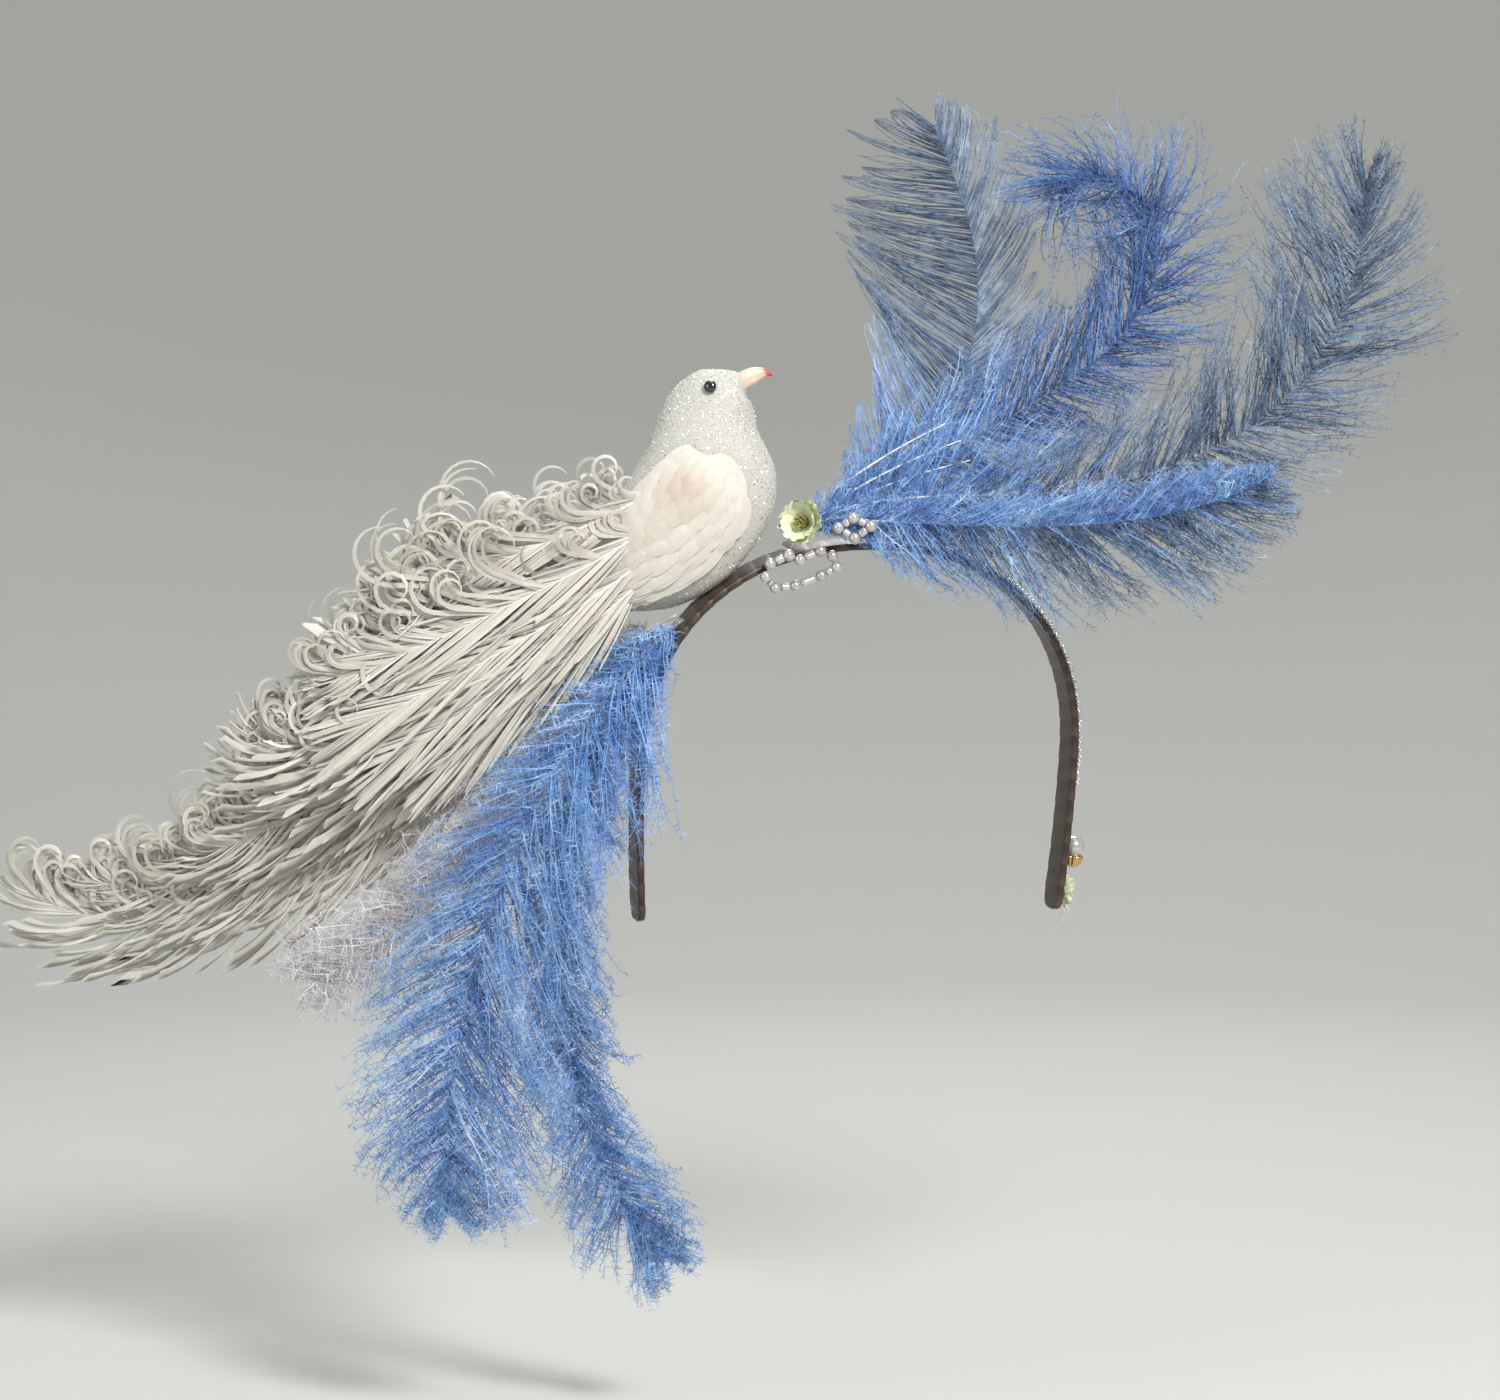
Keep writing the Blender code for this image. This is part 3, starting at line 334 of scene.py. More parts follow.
def satin_finish():
    """Dark ribbon, with its threads on a slant."""
    made = Finish("band_satin")
    slant = {"wave_type": "BANDS", "bands_direction": "DIAGONAL"}
    thread = made.texture("ShaderNodeTexWave", "Fac", slant, Scale=900.0, Distortion=1.5, Detail=2.0)
    stretched = made.texture("ShaderNodeMapping", "Vector", Scale=(1.0, 0.25, 1.0))
    fine = made.noise(2200.0, 2.0, stretched)
    made.ramp(made.mixed(0.6, (made.noise(90.0), 0.5), (fine, 0.5)), (
        (0.15, (0.012, 0.007, 0.005)), (0.5, (0.038, 0.022, 0.014)), (0.9, (0.11, 0.068, 0.044))))
    made.rough(fine, 0.28, 0.5)
    made.bump(made.maths("ADD", thread, fine), 0.25, 0.00012)
    made.set(Sheen_Weight=0.06, Specular_IOR_Level=0.45)


def glitter_finish():
    """The fine glitter under the larger flakes."""
    made = Finish("dove_glitter")
    grain = made.texture("ShaderNodeTexVoronoi", "Distance", Scale=1500.0)
    made.ramp(made.mixed(0.5, (made.noise(60.0), 0.6), (grain, 0.3)), (
        (0.1, (0.37, 0.362, 0.325)), (0.5, (0.46, 0.452, 0.41)), (0.9, (0.56, 0.552, 0.51))))
    made.rough(made.noise(2600.0, 2.0), 0.5, 0.75)
    made.bump(grain, 0.45, 0.0003)
    made.set(Sheen_Weight=0.2, Specular_IOR_Level=0.4)


def petal_finish():
    made = Finish("petal")
    vein = made.texture("ShaderNodeTexWave", "Fac", {"wave_type": "BANDS"}, Scale=500.0, Distortion=4.0,
                        Detail=3.0)
    made.ramp(made.mixed(1.0, (made.noise(220.0), 0.5), (vein, 0.12)), (
        (0.05, (0.36, 0.42, 0.14)), (0.4, (0.52, 0.58, 0.30)), (0.8, (0.68, 0.72, 0.50)),
        (1.0, (0.80, 0.81, 0.66))))
    made.rough(vein, 0.55, 0.75)
    made.bump(vein, 0.25, 0.00012)
    made.set(Sheen_Weight=0.3, Sheen_Roughness=0.4)


def stage_finish():
    made = Finish("stage")
    soft = made.noise(3.0, 2.0)
    made.ramp(made.mixed(0.0, (soft, 0.10), (made.noise(400.0), 0.02)), (
        (0.0, (0.47, 0.4747, 0.4559)), (1.0, (0.53, 0.5353, 0.5141))))
    made.rough(soft, 0.85, 0.90)


feather_finish("blue_plume", (
    (0.05, (0.036, 0.095, 0.28)), (0.40, (0.095, 0.22, 0.49)), (0.72, (0.22, 0.40, 0.68)),
    (1.0, (0.48, 0.63, 0.84))))
feather_finish("deep_plume", (
    (0.05, (0.014, 0.036, 0.12)), (0.42, (0.036, 0.096, 0.27)), (0.75, (0.095, 0.195, 0.41)),
    (1.0, (0.23, 0.35, 0.56))))
feather_finish("steel_plume", (
    (0.05, (0.026, 0.042, 0.080)), (0.40, (0.062, 0.105, 0.185)), (0.72, (0.14, 0.205, 0.315)),
    (1.0, (0.36, 0.43, 0.54))))
feather_finish("white_plume", (
    (0.05, (0.32, 0.30, 0.325)), (0.45, (0.50, 0.48, 0.515)), (0.8, (0.66, 0.645, 0.68)),
    (1.0, (0.80, 0.79, 0.82))))
feather_finish("curled_feather", (
    (0.05, (0.313, 0.296, 0.251)), (0.40, (0.46, 0.441, 0.389)), (0.72, (0.589, 0.569, 0.515)),
    (1.0, (0.754, 0.737, 0.694))), 0.2, (0.30, 0.5), 0.3)
feather_finish("dove_feather", (
    (0.05, (0.423, 0.309, 0.249)), (0.35, (0.506, 0.432, 0.368)), (0.65, (0.561, 0.537, 0.481)),
    (1.0, (0.718, 0.70, 0.65))), 0.2, (0.4, 0.65), 0.25)
feather_finish("flower_centre", (
    (0.05, (0.09, 0.09, 0.012)), (0.45, (0.22, 0.21, 0.035)), (0.8, (0.42, 0.38, 0.07)),
    (1.0, (0.62, 0.55, 0.16))))
shaft_finish("blue_shaft", (0.012, 0.020, 0.050), (0.78, 0.78, 0.74))
shaft_finish("pale_shaft", (0.55, 0.50, 0.40), (0.88, 0.86, 0.78))
gloss_finish("eye", ((0.0, (0.004, 0.004, 0.005)), (1.0, (0.02, 0.02, 0.022))), (0.03, 0.08), 0.0, 1.0)
gloss_finish("seed_bead", ((0.0, (0.52, 0.51, 0.49)), (1.0, (0.92, 0.92, 0.90))), (0.06, 0.16), 0.7, 1.0,
             2500.0)
gloss_finish("silver_tube", ((0.0, (0.45, 0.44, 0.45)), (1.0, (0.82, 0.80, 0.82))), (0.08, 0.2), 0.8, 0.8,
             2500.0)
gloss_finish("pearl", ((0.0, (0.34, 0.31, 0.32)), (0.5, (0.48, 0.455, 0.46)), (1.0, (0.66, 0.63, 0.61))),
             (0.16, 0.26), 0.5, 1.0)
gloss_finish("gold", ((0.0, (0.30, 0.20, 0.05)), (0.5, (0.58, 0.42, 0.14)), (1.0, (0.80, 0.64, 0.30))),
             (0.18, 0.4), 0.9, 0.1, 1800.0)
grained_finish("glitter_flake", (
    (0.1, (0.84, 0.80, 0.78)), (0.5, (0.93, 0.93, 0.90)), (0.9, (0.99, 0.99, 0.98))),
    1.0, (200.0, 0.2), (3000.0, 1.0, 0.6), (0.26, 0.42), (0.05, 0.00003),
    Metallic=0.8, Coat_Weight=0.3, Specular_IOR_Level=1.0)
grained_finish("beak", (
    (0.0, (0.10, 0.05, 0.03)), (0.05, (0.66, 0.47, 0.35)), (0.45, (0.72, 0.53, 0.40)),
    (0.80, (0.66, 0.42, 0.31)), (0.86, (0.50, 0.06, 0.05)), (1.0, (0.40, 0.03, 0.03))),
    1.0, (260.0, 0.10), (1200.0, 3.0, 0.06), (0.35, 0.5), (0.2, 0.0001), Coat_Weight=0.2)
satin_finish()
glitter_finish()
petal_finish()
stage_finish()


# Mesh making

class Soup:
    """Points, triangles, shade values and material numbers, gathered into one mesh."""

    def __init__(self, *finishes):
        self.finishes = finishes
        self.points, self.faces, self.shades, self.slots = [], [], [], []
        self.count = 0

    def add(self, points, faces, shade, finish=0):
        points = np.asarray(points, float).reshape(-1, 3)
        faces = np.asarray(faces, int).reshape(-1, 3)
        self.points.append(points)
        self.faces.append(faces + self.count)
        self.shades.append(np.ravel(shade))
        self.slots.append(np.full(len(faces), finish))
        self.count += len(points)

    def grid(self, points, shade, finish=0, closed=False):
        """A sheet of rows and columns of points, or a tube with end caps where it is closed."""
        rows, columns = points.shape[:2]
        index = np.arange(rows * columns).reshape(rows, columns)
        if closed:
            index = np.hstack([index, index[:, :1]])
        a, b = index[:-1, :-1].ravel(), index[:-1, 1:].ravel()
        c, d = index[1:, 1:].ravel(), index[1:, :-1].ravel()
        faces = np.vstack([np.column_stack([a, b, c]), np.column_stack([a, c, d])])
        shade = np.broadcast_to(shade, (rows, columns)).ravel()
        points = points.reshape(-1, 3)
        if closed:
            first, last = index[0], index[-1]
            points = np.vstack([points, points[first[:-1]].mean(0), points[last[:-1]].mean(0)])
            shade = np.append(shade, [shade[0], shade[-1]])
            low, high = rows * columns, rows * columns + 1
            faces = np.vstack([
                faces,
                np.column_stack([first[1:], first[:-1], np.full(len(first) - 1, low)]),
                np.column_stack([last[:-1], last[1:], np.full(len(last) - 1, high)]),
            ])
        self.add(points, faces, shade, finish)

    def ribbons(self, lines, across, shade, finish=0):
        """Flat ribbons, one for each line of points. across is their half width, as vectors."""
        count, steps = lines.shape[:2]
        points = np.stack([lines - across, lines + across], axis=2)
        start = (np.arange(count)[:, None] * steps + np.arange(steps - 1)[None, :]).ravel() * 2
        faces = np.vstack([
            np.column_stack([start, start + 1, start + 3]),
            np.column_stack([start, start + 3, start + 2]),
        ])
        self.add(points, faces, np.repeat(np.broadcast_to(shade, (count, steps)).ravel(), 2), finish)

    def slivers(self, feet, along, tips, shade, finish=0):
        """Thin triangles, each from a foot with its half width along to a tip."""
        points = np.stack([feet - along, feet + along, tips], axis=-2)
        faces = np.arange(feet.size).reshape(-1, 3)
        self.add(points, faces, np.repeat(shade, 3), finish)

    def fibres(self, feet, along, first, second, shade, finish=0):
        """Curly fibres of two parts: a strip from a foot to a knee, then a thin triangle to the tip."""
        knees = feet + first
        points = np.stack([feet - along, feet + along, knees - along * 0.8, knees + along * 0.8,
                           knees + second], axis=-2)
        start = np.arange(shade.size)[:, None] * 5
        faces = np.vstack([start + [0, 1, 3], start + [0, 3, 2], start + [2, 3, 4]])
        self.add(points, faces, np.repeat(shade, 5), finish)

    def build(self, name, slot, *nodes):
        """The piece, with the soup's finishes as its materials, which stands for the nodes. slot is not
        used.
        """
        points, faces = np.vstack(self.points), np.vstack(self.faces)
        mesh = bpy.data.meshes.new(name)
        mesh.vertices.add(len(points))
        mesh.vertices.foreach_set("co", points.astype(np.float32).ravel())
        mesh.loops.add(faces.size)
        mesh.loops.foreach_set("vertex_index", faces.astype(np.int32).ravel())
        mesh.polygons.add(len(faces))
        mesh.polygons.foreach_set("loop_start", np.arange(0, faces.size, 3, dtype=np.int32))
        mesh.polygons.foreach_set("material_index", np.concatenate(self.slots).astype(np.int32))
        mesh.update(calc_edges=True)
        values = mesh.attributes.new("shade", "FLOAT", "POINT")
        values.data.foreach_set("value", np.concatenate(self.shades).astype(np.float32))
        for finish in self.finishes:
            mesh.materials.append(FINISHES[finish])
        mesh.shade_smooth()
        piece = bpy.data.objects.new(name, mesh)
        bpy.context.scene.collection.objects.link(piece)
        if nodes:
            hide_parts(*nodes)
        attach(piece, "root")


def unit(vectors):
    vectors = np.asarray(vectors, float)
    return vectors / np.maximum(np.linalg.norm(vectors, axis=-1, keepdims=True), 1e-12)


def dot(one, other):
    return np.sum(one * other, axis=-1, keepdims=True)


def table(rows, shares):
    return np.interp(shares, [row[0] for row in rows], [row[1] for row in rows])


def spline(rows, places):
    """Rows of a table read along a smooth curve through them."""
    rows = np.asarray(rows, float)
    places = np.clip(np.asarray(places, float), 0, len(rows) - 1)
    low = np.minimum(places.astype(int), len(rows) - 2)
    t = (places - low)[:, None]
    a, b, c = rows[np.maximum(low - 1, 0)], rows[low], rows[low + 1]
    d = rows[np.minimum(low + 2, len(rows) - 1)]
    return b + 0.5 * t * (c - a + t * (2 * a - 5 * b + 4 * c - d + t * (3 * (b - c) + d - a)))


def square_axes(axis):
    """Two unit vectors square to each axis and to each other."""
    axis = unit(axis)
    helper = np.where(np.abs(axis[..., 2:3]) < 0.9, UP, SIDE)
    one = unit(np.cross(helper, axis))
    return one, np.cross(axis, one)


def tube_points(line, radii, sides, one, other, ribs=0, rib_depth=0.0):
    """Rings of points round a line, with axes square to it, and with ribs along them on request."""
    turns = np.arange(sides) * 2 * math.pi / sides
    circle = np.cos(turns)[:, None] * one[:, None] + np.sin(turns)[:, None] * other[:, None]
    radii = np.broadcast_to(radii, len(line))[:, None] * (1 + rib_depth * np.cos(turns * ribs))
    return line[:, None] + circle * radii[..., None]


def add_tube(soup, line, radii, sides, shade, finish=0):
    one, other = square_axes(np.gradient(line, axis=0))
    soup.grid(tube_points(line, radii, sides, one, other), shade, finish, True)


def add_turned(soup, centre, axis, profile, sides, shade, ribs=0, rib_depth=0.0):
    """A turned body: profile rows are the place along the axis and the radius there."""
    along, radii = np.transpose(profile)
    axis = unit(axis)[None]
    line = centre + along[:, None] * axis
    soup.grid(tube_points(line, radii, sides, *square_axes(axis), ribs, rib_depth), shade, 0, True)


def add_ball(soup, centre, axis, radius, depth, rings, sides, shade=0.5):
    """A ball, or a bead flatter along its axis."""
    turn = np.linspace(0.04, math.pi - 0.04, rings)
    profile = np.column_stack([-depth * np.cos(turn), radius * np.sin(turn)])
    add_turned(soup, centre, axis, profile, sides, shade)


# Places on the band and the dove

def band_line(share):
    side = math.copysign(1.0, share)
    turn = min(abs(share) / ARCH_SHARE, 1.0) * math.pi / 2
    across = BAND_HALF * math.sin(turn) ** (2 / BAND_POWER)
    down = BAND_RISE * (1 - max(math.cos(turn), 0.0) ** (2 / BAND_POWER))
    arm = max(abs(share) - ARCH_SHARE, 0.0) / (1 - ARCH_SHARE)
    return np.array([side * (across - BAND_TUCK * arm**2), down + BAND_ARM * arm])


def band_axes(share):
    step = 0.004
    line = band_line(share)
    along = unit(band_line(min(share + step, 1.0)) - band_line(max(share - step, -1.0)))
    point = np.array([line[0], 0, 0]) + BAND_DOWN * line[1]
    run = np.array([along[0], 0, 0]) + BAND_DOWN * along[1]
    return point, np.cross(BAND_FRONT, run), run


def band_point(share, out=0.0, front=0.0):
    point, outward, _ = band_axes(share)
    return point + outward * out + BAND_FRONT * front


def dove_ribs(places):
    rows = spline(DOVE_ROWS, np.atleast_1d(places))
    back = rows[:, 0:1] * DOVE_LENGTH * SIDE + rows[:, 1:2] * DOVE_HEIGHT * UP
    breast = rows[:, 2:3] * DOVE_LENGTH * SIDE + rows[:, 3:4] * DOVE_HEIGHT * UP
    return back, breast, rows[:, 4:5] * DOVE_WIDTH / 2


DOVE_ORIGIN = band_point(DOVE_SEAT, BAND_THICK + SEAT_GAP) - dove_ribs(DOVE_SEAT_ROW)[1][0]


def dove_skin(places, angles, lift=0.0):
    """Points and outward directions on the dove's skin for matching lists of places and angles."""
    back, breast, half = dove_ribs(places)
    angles = np.asarray(angles, float)[:, None]
    reach = (breast - back) / 2
    tall = np.linalg.norm(reach, axis=1, keepdims=True)
    out = unit(unit(reach) * np.cos(angles) / tall + TOWARD * np.sin(angles) / half)
    points = DOVE_ORIGIN + (back + breast) / 2 + reach * np.cos(angles) + TOWARD * half * np.sin(angles)
    return points + out * np.reshape(lift, (-1, 1)), out


def end_axes(place):
    """Centre of the dove's flat end at a place, the way it faces and the way from breast to back."""
    back, breast, _ = dove_ribs(place)
    centre = DOVE_ORIGIN + (back[0] + breast[0]) / 2
    up = unit(back[0] - breast[0])
    ahead = np.cross(up, TOWARD)
    return centre, ahead if place == 0 else -ahead, up


# Feathers

def way(root, length, bends, places):
    """Points and axes (forward, left, face) of a feather's shaft at the given shares of its length."""
    rows = np.array(bends, float)
    fine = np.linspace(0, 1, 241)
    heading, lean = (np.radians(np.interp(fine, rows[:, 0], rows[:, i])) for i in (1, 2))
    along = (
        np.outer(np.cos(heading) * np.cos(lean), SIDE)
        + np.outer(np.sin(heading) * np.cos(lean), UP)
        + np.outer(np.sin(lean), TOWARD)
    )
    steps = (along[:-1] + along[1:]) / 2 * length / (len(fine) - 1)
    line = root + np.vstack([np.zeros(3), np.cumsum(steps, axis=0)])
    point = np.column_stack([np.interp(places, fine, line[:, i]) for i in range(3)])
    forward = unit(np.column_stack([np.interp(places, fine, along[:, i]) for i in range(3)]))
    turned = np.radians(np.interp(places, rows[:, 0], rows[:, 1]))[:, None]
    left = unit(-np.sin(turned) * SIDE + np.cos(turned) * UP)
    left = unit(left - forward * dot(left, forward))
    face = np.cross(forward, left)
    turn = np.radians(np.interp(places, rows[:, 0], rows[:, 3]))[:, None]
    left, face = np.cos(turn) * left + np.sin(turn) * face, np.cos(turn) * face - np.sin(turn) * left
    return point, forward, left, face


def add_shaft(soup, root, length, bends, quill, bare, tone, finish):
    """The quill, pale along its bare part and darker past it."""
    places = np.linspace(0, 1, 90)
    point, _, left, face = way(root, length, bends, places)
    radii = quill / 2 * (1 - 0.86 * places**0.8)
    shade = np.interp(places, [0, bare + 0.10, bare + 0.22, 1], [1, 1, tone, tone])
    soup.grid(tube_points(point, radii, 8, left, face * 0.8), shade[:, None], finish, True)


def barb_lines(rng, axes, side, reach, sweep, curl, tilt, droop, steps, wave=0.0):
    """Barbs that leave the shaft at their sweep ahead of square, bend by their curl over the outer part,
    and tilt out of the feather's plane."""
    point, forward, left, face = axes
    share = np.linspace(0, 1, steps)[None, :]
    bend = np.clip((share - 0.35) / 0.65, 0, 1) ** 1.3
    angle = np.radians(sweep)[:, None] + np.radians(curl)[:, None] * bend
    out = tilt[:, None] * (1 - 0.6 * share) - 2 * droop * share
    run = (
        np.cos(angle)[..., None] * side * left[:, None]
        + np.sin(angle)[..., None] * forward[:, None]
        + out[..., None] * face[:, None]
    )
    run = unit(run)
    middle = (run[:, :-1] + run[:, 1:]) / 2 * (reach / (steps - 1))[:, None, None]
    lines = np.concatenate([np.zeros((len(point), 1, 3)), np.cumsum(middle, axis=1)], axis=1)
    if wave:
        phase = rng.uniform(0, 2 * math.pi, (len(point), 2, 1))
        count = rng.uniform(0.8, 2.0, (len(point), 2, 1))
        swing = wave * share[:, None] * np.sin(2 * math.pi * count * share[:, None] + phase)
        lines = lines + swing[:, 0, :, None] * forward[:, None] + swing[:, 1, :, None] * face[:, None]
    return point[:, None] + lines, run


def gather(rng, lines, size, strength, power):
    """Draws the outer parts of neighbouring barbs together into clumps."""
    count, steps = lines.shape[:2]
    edges = np.cumsum(rng.integers(max(2, size // 2), size * 2, count))
    group = np.searchsorted(edges, np.arange(count), side="right")
    total = np.zeros((group.max() + 1, steps, 3))
    np.add.at(total, group, lines)
    middle = total / np.bincount(group, minlength=len(total))[:, None, None]
    pull = strength * np.linspace(0, 1, steps) ** power
    return lines + (middle[group] - lines) * pull[None, :, None]


def add_down(soup, rng, lines, face, count, length, widest, shade, curly, finish):
    """Fine down on both sides of every barb: curly fibres, or straight thin triangles."""
    barbs, steps = lines.shape[:2]
    place = 0.99 * rng.random((barbs, count)) ** (1.25 if curly else 1.0)
    index = np.minimum((place * (steps - 1)).astype(int), steps - 2)
    part = (place * (steps - 1) - index)[..., None]
    row = np.arange(barbs)[:, None]
    foot = lines[row, index] * (1 - part) + lines[row, index + 1] * part
    run = unit(lines[row, index + 1] - lines[row, index])
    beside = np.cross(np.broadcast_to(face[:, None], run.shape), run)
    beside = beside * np.where(rng.random((barbs, count)) < 0.5, -1.0, 1.0)[..., None]
    angle = np.radians(rng.uniform(10, widest, (barbs, count)))[..., None]
    lift = rng.normal(0, 0.45, (barbs, count))[..., None]
    heading = unit(run * np.cos(angle) + beside * np.sin(angle) + lift * face[:, None])
    size = (length * rng.uniform(0.4, 1.15, (barbs, count)) * (1 - 0.5 * place**2))[..., None]
    tone = (shade[:, None] + rng.normal(0, 0.15, (barbs, count)) + 0.14 * place).ravel()
    half = run * (FIBRE_HALF + FIBRE_HALF * rng.random((barbs, count, 1)))
    if curly:
        turned = unit(heading + rng.normal(0, 0.75, heading.shape) + run * 0.35)
        soup.fibres(foot, half, heading * size * 0.5, turned * size * 0.6, tone, finish)
    else:
        soup.slivers(foot, half, foot + heading * size, tone, finish)


def plume_root(seat, offset):
    share, pitch = {"top": (TOP_SEAT, TOP_PITCH), "hang": (HANG_SEAT, HANG_PITCH)}[seat]
    return band_point(share, BAND_THICK + SEAT_GAP + PLUME_QUILL / 2, offset * pitch)


def make_plume(seed, row):
    (name, seat, offset, bends, length, left, left_sweep, left_outline, right, right_sweep, right_outline,
     bare, colour, barbs, fibres, down, spread, clump, tip_curl) = row
    rng = np.random.default_rng(seed)
    silky = down < 0.002
    steps = BARB_STEPS
    shaft = "pale_shaft" if colour == "white_plume" else "blue_shaft"
    soup = Soup(colour, shaft, "blue_plume", "steel_plume")
    mop = 1.0 if colour == "deep_plume" else 0.0
    widest = 115 if seat == "hang" else 62
    root = plume_root(seat, offset)
    add_shaft(soup, root, length, bends, PLUME_QUILL * 0.6, bare if seat == "top" else -0.22,
              0.12 if silky else 0.22, 1)
    sides = ((1, left, left_sweep, left_outline), (-1, right, right_sweep, right_outline))
    for side, reach, sweep, outline in sides:
        share = np.sort(np.clip(np.linspace(0, 1, barbs) + rng.normal(0, 0.003, barbs), 0, 1)) ** 0.96
        axes = way(root, length, bends, bare + (1 - bare) * share * 0.995)
        # Tufts of neighbouring barbs share part of their length, sweep and tilt
        tuft = np.searchsorted(np.cumsum(rng.integers(5, 16, barbs)), np.arange(barbs), side="right")
        long, swept, tilted, toned = (rng.normal(0, 1, barbs)[tuft] for _ in range(4))
        ahead = np.clip((share - 0.84) / 0.16, 0, 1) ** 1.2
        reaches = reach * table(PLUME_OUTLINES[outline], share) * (1 - 0.36 * ahead * (1 - mop))
        reaches *= np.clip(1 + 0.11 * long + rng.normal(0, 0.10, barbs), 0.5, 1.4)
        reaches *= np.interp(share, [0, 0.08], [0.5, 1])
        loose = 0.3 if silky else 1.0
        wild = 1 + 2.5 * mop * np.clip((share - 0.65) / 0.2, 0, 1)
        sweeps = sweep + (62 - sweep) * ahead + (7 * swept + rng.normal(0, 9, barbs)) * loose * wild
        curls = (24 if silky and side < 0 else 12) * (1 - ahead) + rng.normal(0, tip_curl, barbs)
        tilts = spread * (0.55 * tilted + 0.75 * rng.normal(0, 1, barbs)) * wild
        shift = rng.normal(0, 0.0005, barbs)[:, None] * loose
        axes = (axes[0] + axes[3] * shift, *axes[1:])
        wave = 0.0008 + spread * 0.006
        lines, _ = barb_lines(rng, axes, side, reaches, sweeps, curls, tilts, 0.10, steps, wave)
        lines = gather(rng, lines, 9 if silky else 7, clump, 4.0 if silky else 1.4)
        run = unit(np.gradient(lines, axis=1))
        wide = unit(np.cross(np.broadcast_to(axes[3][:, None], run.shape), run))
        width = (0.00019 if silky else 0.00023) * (1 - 0.8 * np.linspace(0, 1, steps))
        tone = 0.40 + 0.10 * toned + rng.normal(0, 0.12, barbs)
        # On the silky plume the right side is painted paler as a painted sheen, and the left side darker
        # as painted shade
        if silky:
            tone += 0.20 if side < 0 else -0.12
        ramp = tone[:, None] + 0.18 * np.linspace(0, 1, steps)[None, :]
        # The upright plumes are a brighter blue near their roots, and the lowest one is grey-blue below
        base = share < rng.uniform(0.10, 0.42, barbs) * (0.0 if seat == "hang" else 1.0)
        grey = ~base & (rng.random(barbs) < 0.75) & (name == "top_plume_4") & (side < 0)
        for finish, chosen in ((0, ~base & ~grey), (2, base), (3, grey)):
            if chosen.any():
                soup.ribbons(lines[chosen], (wide * width[None, :, None])[chosen], ramp[chosen], finish)
                add_down(soup, rng, lines[chosen], axes[3][chosen], fibres, down, widest, tone[chosen],
                         not silky, finish)
    soup.build(name + "_look", colour, name)


def curl_root(middle):
    centre, tailward, up = end_axes(len(DOVE_ROWS) - 1)
    return centre + tailward * SEAT_GAP - up * middle * CURL_SPREAD - TOWARD * middle * CURL_PITCH


def add_strips(soup, rng, axes, side, reach, sweep, curl, tilt, strands, strip_half, twist, steps):
    """Strips of barbs that cling together. Each is a few thin ribbons side by side along one curve, and
    turns edgeways by its twist as it curls."""
    count = len(reach)
    lines, runs = barb_lines(rng, axes, side, reach, sweep, curl, tilt, 0.06, steps)
    face = np.broadcast_to(axes[3][:, None], runs.shape)
    flat = unit(np.cross(runs, face)) * side
    turn = np.radians(twist)[:, None, None] * np.clip(np.linspace(-0.3, 1.4, steps), 0, 1)[None, :, None]
    wide = unit(flat * np.cos(turn) + unit(np.cross(flat, runs)) * np.sin(turn))
    taper = np.interp(np.linspace(0, 1, steps), [0, 0.3, 0.75, 1], [0.75, 1.0, 0.8, 0.22])[None, :, None]
    tone = 0.5 + rng.normal(0, 0.14, count)
    pitch = 2 * strip_half / strands
    for strand in range(strands):
        offset = (strand - (strands - 1) / 2) * pitch
        stray = rng.normal(0, pitch * 0.22, (count, 1, 1))
        spread = wide * (offset + stray * np.linspace(0, 1, steps)[None, :, None]) * taper
        shades = (tone + rng.normal(0, 0.08, count))[:, None] + np.linspace(0.10, -0.12, steps)
        soup.ribbons(lines + spread, wide * taper * pitch * 0.47, shades)


